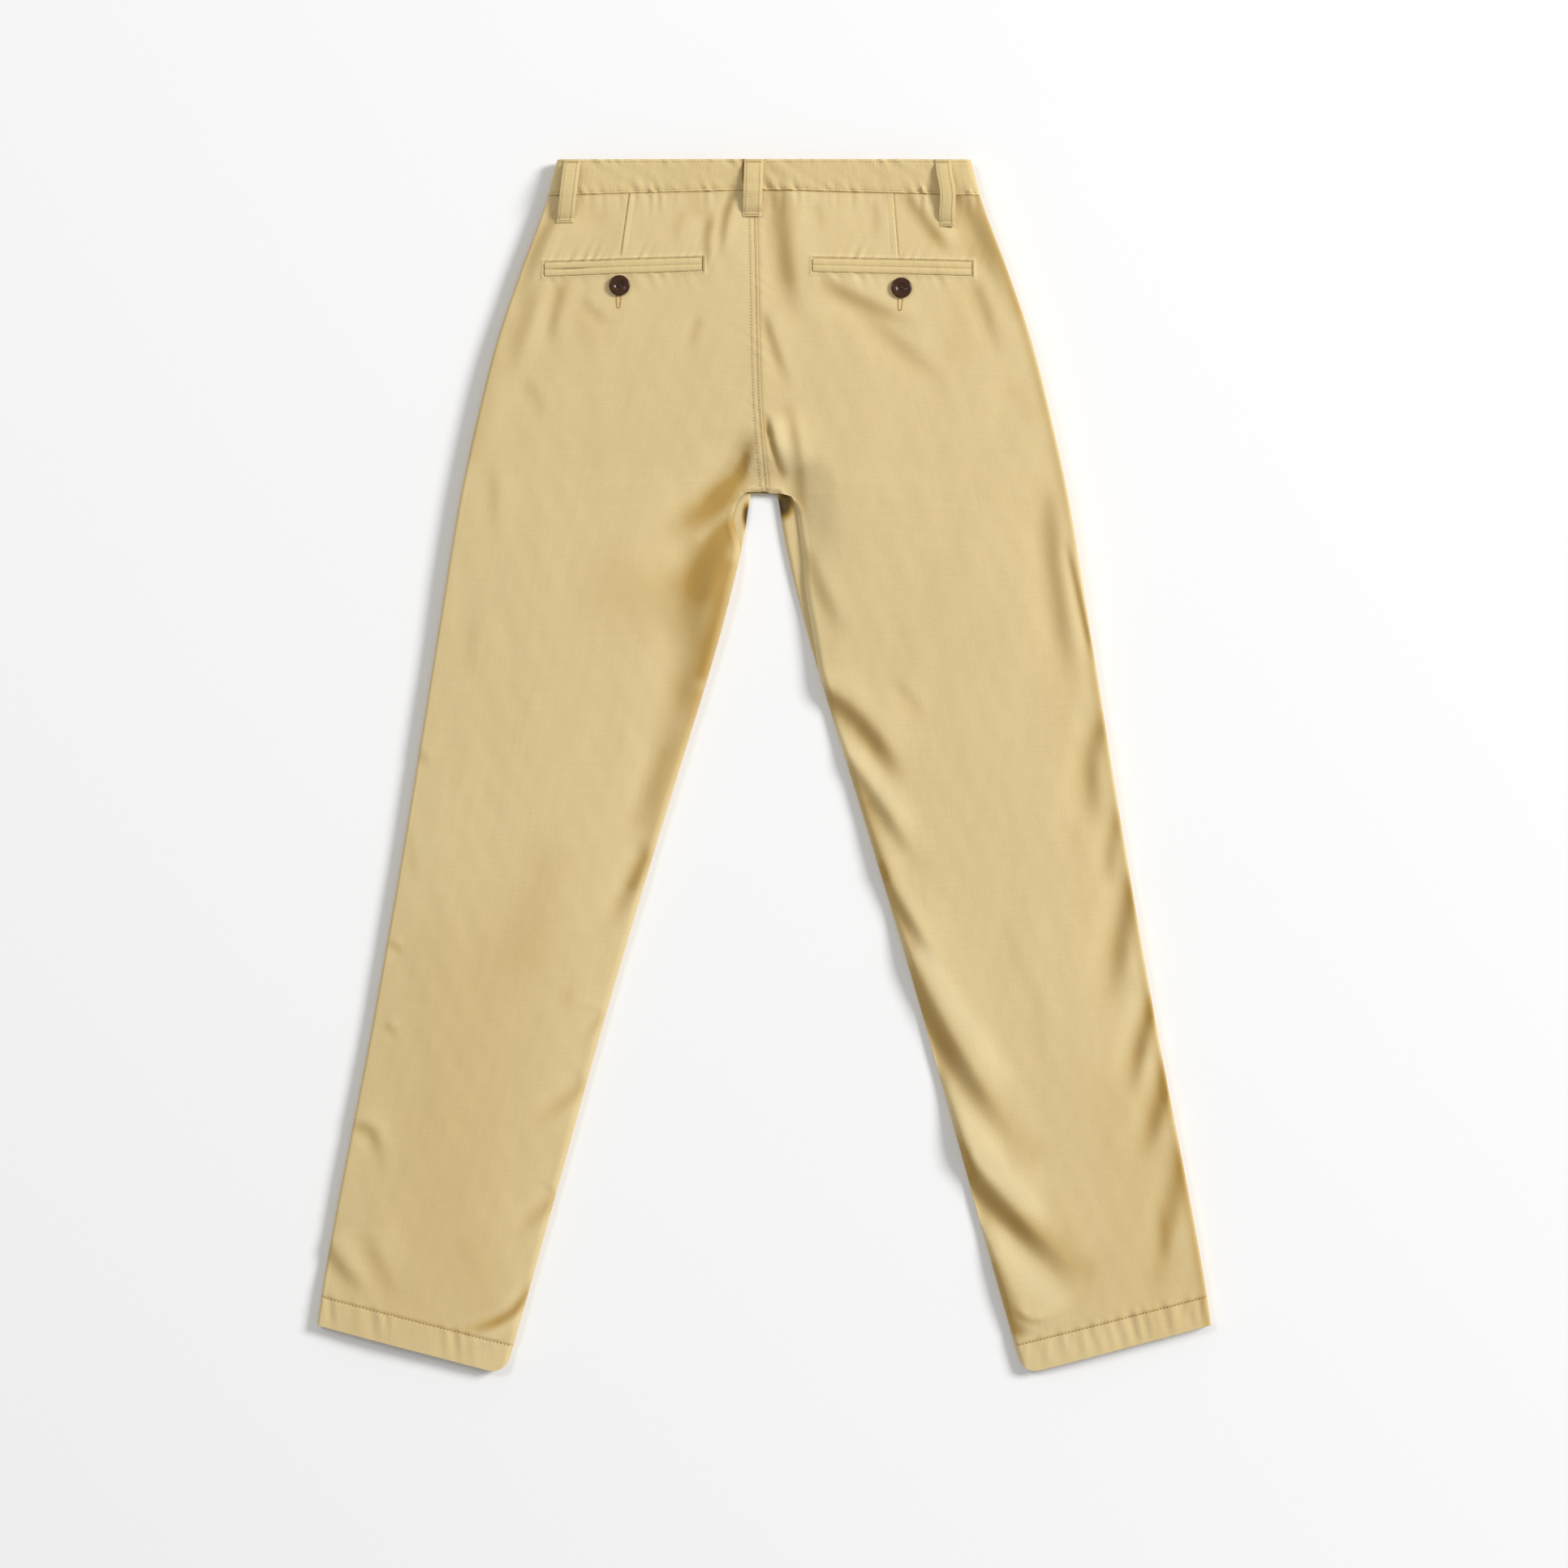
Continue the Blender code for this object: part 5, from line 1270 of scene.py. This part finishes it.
def rod(vertices, radius, depth, cuts):
    """A thin cylinder along X, cut across at these places."""
    deselect()
    bpy.ops.mesh.primitive_cylinder_add(
        vertices=vertices, radius=radius, depth=depth, rotation=(0, math.pi / 2, 0)
    )
    bpy.ops.object.transform_apply(location=False, rotation=True, scale=False)
    edit_mesh(
        *(
            lambda cut=cut: bpy.ops.mesh.bisect(plane_co=(cut, 0, 0), plane_no=(1, 0, 0))
            for cut in cuts
        )
    )
    return bpy.context.object


def model_stitch():
    stitch = rod(5, 1.0, 1.0, (-0.3, 0.3))
    for vertex in stitch.data.vertices:
        if abs(vertex.co.x) > 0.45:
            vertex.co.y *= 0.55
            vertex.co.z = vertex.co.z * 0.55 - 0.9
    points = np.array([vertex.co[:] for vertex in stitch.data.vertices])
    faces = [tuple(face.vertices) for face in stitch.data.polygons]
    bpy.data.objects.remove(stitch)
    return points, faces


def thread_finish(name, color, sheen=0.2):
    finish, tree, shader = new_finish(name, Roughness=0.55, Sheen__Weight=sheen)
    spot = node(tree, "ShaderNodeTexCoord").outputs["Object"]
    twist = stretched_noise(tree, spot, 900, 900, 1.0)
    deep, pale = ((*(part * c for c in color), 1) for part in (0.72, 1.18))
    bump = node(tree, "ShaderNodeBump", Strength=0.4, Distance=0.0002, Height=twist)
    fill(tree, shader, Base__Color=mixed(tree, twist, deep, pale), Normal=bump.outputs[0])
    return finish


stitch_points, stitch_faces = model_stitch()
sand_thread = thread_finish("sand thread", (0.62, 0.46, 0.21))
hem_thread = thread_finish("hem thread", (0.42, 0.28, 0.095))
hole_thread = thread_finish("buttonhole thread", (0.62, 0.40, 0.12))


def new_object(name, *parts):
    """An object from vertices, edges and faces."""
    mesh = bpy.data.meshes.new(name)
    mesh.from_pydata(*parts)
    made = bpy.data.objects.new(name, mesh)
    scene.collection.objects.link(made)
    return made


def stitch_places(points, step):
    """Start, middle and end of each stitch, along a line of corner points."""
    points = np.array(points, float)
    runs = running_length(*points.T)
    count = max(int(round(runs[-1] / step)), 1)
    where = (np.arange(count) + 0.5) * runs[-1] / count
    return zip(
        *(
            np.stack([np.interp(where + shift, runs, line) for line in points.T], axis=1)
            for shift in (-0.5 * step, 0.0, 0.5 * step)
        )
    )


def stitch_row(
    name, points, names, pitch=2.9, share=0.8, below=False, radius=THREAD, finish=sand_thread
):
    """Stitches along a path on top of these pieces, or beneath them."""
    verts, faces = [], []
    thick = radius * MM
    for spots in stitch_places(points, pitch):
        hits = [meet(names, *spot, below) for spot in spots]
        if None in hits:
            continue
        ahead = hits[2][0] - hits[0][0]
        if not 0.4 * pitch * MM <= ahead.length <= 2.5 * pitch * MM:
            continue
        along = ahead.normalized()
        across = hits[1][1].normalized().cross(along).normalized()
        up = along.cross(across)
        centre = hits[1][0] + up * (radius * 0.5 * MM)
        faces += [tuple(len(verts) + i for i in face) for face in stitch_faces]
        verts += [
            centre + along * (px * share * pitch * MM) + across * (py * thick) + up * (pz * thick)
            for px, py, pz in stitch_points
        ]
    row = new_object(name, verts, [], faces)
    row.data.shade_smooth()
    row.data.materials.append(finish)
    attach(row, "root")
    return len(verts) // len(stitch_points)


def centre_line(inside, end):
    """Points down the felled seam, this far inside its edge."""
    return [(float(centre_back_x(y)) - inside, y) for y in spread(515, end, 6.0)]


made = stitch_row("thread_centre_back_1", centre_line(FELL_ROWS[0], 250), BACKS, radius=0.28)
made += stitch_row("thread_centre_back_2", centre_line(FELL_ROWS[1], 252), BACKS, share=0.55)
for name, side in SIDES.items():
    shares = np.linspace(0.012, 0.985, 30)
    hem_rows = Rows(side, np.array([HEM_LINE.side_y - 0.4]), centre_back)
    hx, hy = hem_rows.place(shares[None] * hem_rows.width[:, None])
    path = list(zip(hx[0], hy[0]))
    made += stitch_row(
        f"thread_hem_{name}", path, (f"back_hem_{name}", f"back_panel_{name}"), 3.3, 0.5,
        radius=0.5, finish=hem_thread,
    )
    made += stitch_row(
        f"thread_hem_under_{name}", path, (f"front_hem_{name}", f"front_panel_{name}"), below=True
    )
    xs = side * spread(3.0, WIDE_SEAM - 3.0, 6.0)
    path = [(x, float(waist_seam_y(x)) + BAND_ROW) for x in xs]
    made += stitch_row(f"thread_band_{name}", path, BANDS)
    path = [(x * WIDE_TOP / WIDE_SEAM, WAIST_TOP - 2.2) for x in xs]
    made += stitch_row(f"thread_band_top_{name}", path, BANDS)
print("stitches:", made)

# %% [markdown]
# ## Belt loops
# A loop is a narrow folded strip, sewn down at both ends with a bartack and edge-stitched along
# both sides. It bows away from the band in the middle. The three at the back show, and the two
# at the front lie pressed flat underneath.

# %% Belt loops
Loop = namedtuple("Loop", "name x_top x_bottom y_bottom width kink")
BACK_LOOPS = (
    Loop("loop_back_left", -173.0, -179.6, 489.8, 14.0, 0.0),
    Loop("loop_centre", -9.2, -10.7, 495.4, 16.0, 0.0),
    Loop("loop_back_right", 161.5, 167.0, 486.6, 13.0, 1.0),
)
FRONT_LOOPS = (
    Loop("loop_front_left", -98.0, -101.0, 493.0, 14.0, 0.0),
    Loop("loop_front_right", 98.0, 101.0, 493.0, 14.0, 0.0),
)
LOOP_BOW, LOOP_PRESSED, LOOP_SEWN, LOOP_TOP = 5.5, 1.2, 5.0, 547.0
LOOP_ROW = 2.2              # from a loop's edge to its stitches


def smoothed(values):
    """Each value becomes the mean of five neighbours."""
    return np.convolve(np.pad(values, 2, mode="edge"), np.ones(5) / 5, mode="valid")


def make_loop(loop, names, below):
    length, way = LOOP_TOP - loop.y_bottom, -1 if below else 1
    down = np.linspace(0, 1, 40)
    across = np.array([-0.5, -0.46, -0.4, -0.3, -0.15, 0, 0.15, 0.3, 0.4, 0.46, 0.5])
    D, A = np.meshgrid(down, across, indexing="ij")
    y = LOOP_TOP - D * length
    lean = 1.3 * loop.kink * np.sin(math.tau * np.clip((D - 0.25) * 1.1, 0, 1))
    x = loop.x_top + D * (loop.x_bottom - loop.x_top) + A * loop.width + lean
    end = LOOP_SEWN / length
    inside = np.clip((D - end) / (1 - 2 * end), 0, 1)
    bow = np.sin(math.pi * inside) ** 0.6 * (LOOP_PRESSED if below else LOOP_BOW)
    bed = np.zeros(len(down))
    for i, row_y in enumerate(y[:, 0]):
        hits = [meet(names, px, row_y, below) for px in x[i]]
        heights = [way * hit[0].z / MM for hit in hits if hit is not None]
        bed[i] = max(heights, default=bed[i - 1])
    from_edge = (0.5 - np.abs(A)) * loop.width
    edges = 0.5 * ridge(from_edge, 0.7) + 0.3 * ridge(from_edge - LOOP_ROW, 0.6**0.5)
    dent = ridge(D * length - 3, 3**0.5) + ridge((1 - D) * length - 3, 3**0.5)
    ripple = 0.25 * np.sin(D * 21 + A * 3 + loop.x_top) + 0.9 * loop.kink * np.sin(D * 9) * A
    out = CAD_GAP + bow + ripple * inside - edges - 0.3 * dent
    z = way * (smoothed(bed)[:, None] + out)
    if below:
        z = np.maximum(z, LOOP_WALL + 0.05)
    piece = lay_cloth(
        loop.name + "_strip", loop.name, "waistband",
        (x, y, z, A * loop.width + 40.0 * loop.x_top, y), LOOP_WALL, band_twill, up=not below,
        outward=True, wear=0.12 * ridge(from_edge, 1.0),
    )
    middle_x, middle_y = x[:, 5], y[:, 5]
    for k, edge in enumerate((-1, 1)):
        path = np.column_stack((middle_x + edge * (loop.width / 2 - LOOP_ROW), middle_y))[1:-1]
        stitch_row(f"thread_{loop.name}_{k}", path, (piece.name,), 2.4, below=below)
    for k, place in enumerate((2.2, length - 1.8)):
        centre, half = np.interp(place / length, down, middle_x), loop.width / 2 - 1.0
        for j, shift in enumerate((-0.35, 0.35)):
            bar = [(centre + edge * half, LOOP_TOP - place + shift) for edge in (-1, 1)]
            stitch_row(f"bartack_{loop.name}_{k}_{j}", bar, (piece.name,), *BARTACK, below, 0.3)


for loop in BACK_LOOPS:
    make_loop(loop, BACKS + BANDS, False)
for loop in FRONT_LOOPS:
    make_loop(loop, FRONTS + BANDS, True)
print("loops:", len(BACK_LOOPS) + len(FRONT_LOOPS))

# %% [markdown]
# ## Welt pockets
# Two narrow folded strips close the pocket's mouth. Each is made from the panel's own surface
# and stands a little proud of it. A frame of stitches runs round both, and a bartack crosses
# each end. Where the mouth gapes, the panel beneath dips and is painted in shade.

# %% Welts
WELT_FLAT, WELT_AREA = (0.1436, 0.0124), 0.00089     # a strip folded double, in metres
WELT_ROW, WELT_END = 2.0 / POCKET_DEPTH, 2.2 / POCKET_LENGTH


def make_welt(welt, which):
    across = np.array([0.0, 0.06, 0.15, 0.3, 0.5, 0.7, 0.85, 0.94, 1.0])
    K, S = np.meshgrid(across, np.linspace(0, 1, 72), indexing="ij")
    mouth = 0.02 + welt.gape * 0.035 * ridge(S - POCKET_GAPE, 0.13)
    first, last = (0.0, 0.5 - mouth) if which == "upper" else (0.5 + mouth, 1.0)
    x, y = welt_spot(welt, S, first + K * (last - first))
    bed = np.array([[meet(BACKS, *spot)[0].z / MM for spot in zip(*row)] for row in zip(x, y)])
    bed = bed.max(axis=0, keepdims=True) * 0.5 + bed * 0.5
    from_edge = np.minimum(K, 1 - K)
    proud = 0.15 + 0.65 * quarter_ellipse(from_edge / 0.35)
    proud += 0.06 * np.sin(S * 60 + 2 * np.arange(len(across))[:, None])
    z = np.stack([smoothed(row) for row in bed]) + proud
    grid = (x, y, z, S * POCKET_LENGTH + (0 if which == "upper" else CUT_WELT), K * 6.0)
    return lay_cloth(
        f"pocket_welt_{which}_{welt.side}", f"welt_{which}_{welt.side}", "waistband", grid,
        WELT_WALL, band_twill, (WELT_FLAT, WELT_AREA), outward=True,
        wear=0.1 * (1 - from_edge / 0.5),
    ).name


for welt in WELTS:
    names = BACKS + tuple(make_welt(welt, which) for which in ("upper", "lower"))
    for tag, down in (("top", -WELT_ROW), ("low", 1 + WELT_ROW)):
        path = [welt_spot(welt, s, down) for s in np.linspace(-WELT_END, 1 + WELT_END, 30)]
        stitch_row(f"thread_welt_{tag}_{welt.side}", path, names, *WELT_STITCH, radius=0.3)
    for tag, along in (("outer", -WELT_END), ("inner", 1 + WELT_END)):
        path = [welt_spot(welt, along, d) for d in np.linspace(-WELT_ROW, 1 + WELT_ROW, 6)]
        stitch_row(f"thread_welt_{tag}_{welt.side}", path, names, *WELT_STITCH, radius=0.3)
        path = [welt_spot(welt, along * 0.985 + 0.0075, d) for d in np.linspace(0.05, 0.95, 6)]
        stitch_row(f"bartack_{tag}_{welt.side}", path, names, *BARTACK)
print("pockets:", len(WELTS))

# %% [markdown]
# ## Buttons and buttonholes
# The buttons are turned from dark resin: a rounded rim, a dished face and four holes crossed by
# thread. Each is modelled by spinning a profile and drilling it. Below a pocket's button the end
# of the buttonhole shows, a slit bound in close stitches.

# %% Buttons
BUTTON_RADIUS, BUTTON_THICK = 9.4, 2.9
HOLE_RING, HOLE_RADIUS, DRILL_LENGTH = 1.9, 0.9, 12.0
STRAND_RADIUS, STRAND_LENGTH = 0.42, 4.2
BUTTON_LIFT = 0.3           # how far a button stands off the cloth
HOLE_ANGLES = [math.pi / 4 + i * math.pi / 2 for i in range(4)]
PROFILE = (
    (0.0, 0.42), (0.16, 0.42), (0.3, 0.45), (0.38, 0.53), (0.44, 0.68), (0.5, 0.8),
    (0.57, 0.86), (0.7, 0.92), (0.8, 0.99), (0.88, 1.0), (0.95, 0.9), (0.99, 0.74),
    (1.0, 0.55), (0.975, 0.3), (0.88, 0.06), (0.7, 0.0), (0.0, 0.0),
)
BUTTON_SPOTS = (("left", -130.5, 432.9), ("right", 123.8, 430.7))


def resin_finish():
    finish, tree, shader = new_finish(
        "dark resin", Specular__IOR__Level=0.2, Coat__Weight=0.16, Coat__Roughness=0.06
    )
    spot = node(tree, "ShaderNodeTexCoord").outputs["Object"]
    swirl = node(tree, "ShaderNodeTexNoise", Vector=spot, Scale=260.0, Detail=3.0, Distortion=1.6)
    color = mixed(tree, swirl.outputs["Fac"], (0.016, 0.006, 0.003, 1), (0.085, 0.034, 0.014, 1))
    scratches = node(tree, "ShaderNodeTexNoise", Vector=spot, Scale=900.0, Detail=2.0)
    rough = maths(tree, "MULTIPLY_ADD", scratches.outputs["Fac"], 0.18, 0.12)
    fill(tree, shader, Base__Color=color, Roughness=rough)
    return finish


resin = resin_finish()
dark_thread = thread_finish("dark thread", (0.03, 0.018, 0.01), 0.0)


def select_only(piece):
    deselect()
    piece.select_set(True)
    bpy.context.view_layer.objects.active = piece


def drill(button, angle):
    """One hole, cut with a cylinder that is then taken away."""
    deselect()
    spot = (HOLE_RING * MM * math.cos(angle), HOLE_RING * MM * math.sin(angle), 0)
    bpy.ops.mesh.primitive_cylinder_add(
        vertices=16, radius=HOLE_RADIUS * MM, depth=DRILL_LENGTH * MM, location=spot
    )
    bit = bpy.context.object
    cut = button.modifiers.new("Hole", "BOOLEAN")
    cut.object, cut.solver = bit, "EXACT"
    select_only(button)
    bpy.ops.object.modifier_apply(modifier="Hole")
    bpy.data.objects.remove(bit)


def make_button(name, node_name, place, normal):
    """A drilled button, and two crossed strands of thread on its face."""
    points = [(r * BUTTON_RADIUS * MM, 0, h * BUTTON_THICK * MM) for r, h in PROFILE]
    button = new_object(name, points, [(i, i + 1) for i in range(len(points) - 1)], [])
    select_only(button)
    edit_mesh(
        lambda: bpy.ops.mesh.spin(steps=48, angle=math.tau, center=(0, 0, 0), axis=(0, 0, 1)),
        lambda: bpy.ops.mesh.remove_doubles(threshold=1e-6),
        lambda: bpy.ops.mesh.normals_make_consistent(inside=False),
    )
    for angle in HOLE_ANGLES:
        drill(button, angle)
    stand = Matrix.Translation(place) @ normal.to_track_quat("Z", "Y").to_matrix().to_4x4()
    button.data.transform(stand)
    bpy.ops.object.shade_smooth_by_angle(angle=math.radians(35))
    button.data.materials.clear()
    button.data.materials.append(resin)
    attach(button, "root")
    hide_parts(node_name)
    for i, angle in enumerate(HOLE_ANGLES[:2]):
        cuts = (-1.3 * MM, -0.6 * MM, 0.6 * MM, 1.3 * MM)
        strand = rod(10, STRAND_RADIUS * MM, STRAND_LENGTH * MM, cuts)
        for vertex in strand.data.vertices:
            vertex.co.z -= 0.9 * MM * abs(vertex.co.x / (STRAND_LENGTH / 2 * MM)) ** 4
            vertex.co.y *= 1.25
        lift = Matrix.Translation((0, 0, (0.43 * BUTTON_THICK + 0.35 + 0.25 * i) * MM))
        strand.data.transform(stand @ lift @ Matrix.Rotation(angle, 4, "Z"))
        bpy.ops.object.shade_smooth()
        strand.data.materials.append(dark_thread)
        strand.name = f"{name}_thread_{i}"
        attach(strand, "root")


for name, bx, by in BUTTON_SPOTS:
    centre, normal = meet(BACKS, bx, by)
    box_low, box_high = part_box(f"button_{name}")
    place = Vector((bx * MM, by * MM, max(centre.z + BUTTON_LIFT * MM, box_low.z)))
    make_button(f"pocket_button_{name}", f"button_{name}", place, normal)
box_low, box_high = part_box("button_waist")
middle = (box_low + box_high) / 2
place = Vector((middle.x, middle.y, box_high.z))
make_button("waist_button", "button_waist", place, Vector((0, 0, -1)))
print("buttons:", len(BUTTON_SPOTS) + 1)

# %% Buttonholes
HOLE_FROM_BUTTON = (-0.6, -9.0)
HOLE_RINGS = ((1.7, 10.5), (2.3, 11.2))     # half width and half length of each bound ring


def ring_path(cx, cy, half_wide, half_long, lean):
    """A long narrow ring, cut straight at both ends."""
    angles = math.tau * np.arange(33) / 32
    py = half_long * np.clip(1.25 * np.sin(angles), -1.0, 1.0)
    return np.column_stack((cx + half_wide * np.cos(angles) + lean * py, cy + py))


for name, bx, by in BUTTON_SPOTS:
    lean = 0.02 if name == "left" else 0.05
    middle = (bx + HOLE_FROM_BUTTON[0], by + HOLE_FROM_BUTTON[1])
    for j, halves in enumerate(HOLE_RINGS):
        stitch_row(
            f"buttonhole_{name}_{j}", ring_path(*middle, *halves, lean), BACKS, 1.05, 0.95,
            radius=0.36, finish=hole_thread,
        )
print("buttonholes:", len(BUTTON_SPOTS))

# %% [markdown]
# ## Fly
# Underneath, the left front covers the closed zip. Its tape and the shield behind it lie flat
# between the fronts and the backs, and only show through the waist.

# %% Fly
for name, node_name, finish, slot, layer in (
    ("fly_tape", "fly_zip", tape_weave, "zip", 1),
    ("fly_guard", "fly_shield", panel_twill, "twill", 2),
):
    low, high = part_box(node_name)
    X, Y = np.meshgrid(
        spread(low.x / MM, high.x / MM, 3.0), spread(high.y / MM, low.y / MM, 5.0)
    )
    Z = base_z(Y - 3.0) + layer * (PANEL_WALL + CAD_GAP)
    Z = Z + 0.12 * np.sin(Y / 9.0) * np.cos(X / 7.0)
    lay_cloth(name, node_name, slot, (X, Y, Z, X + CUT_FLY, Y), PANEL_WALL, finish)
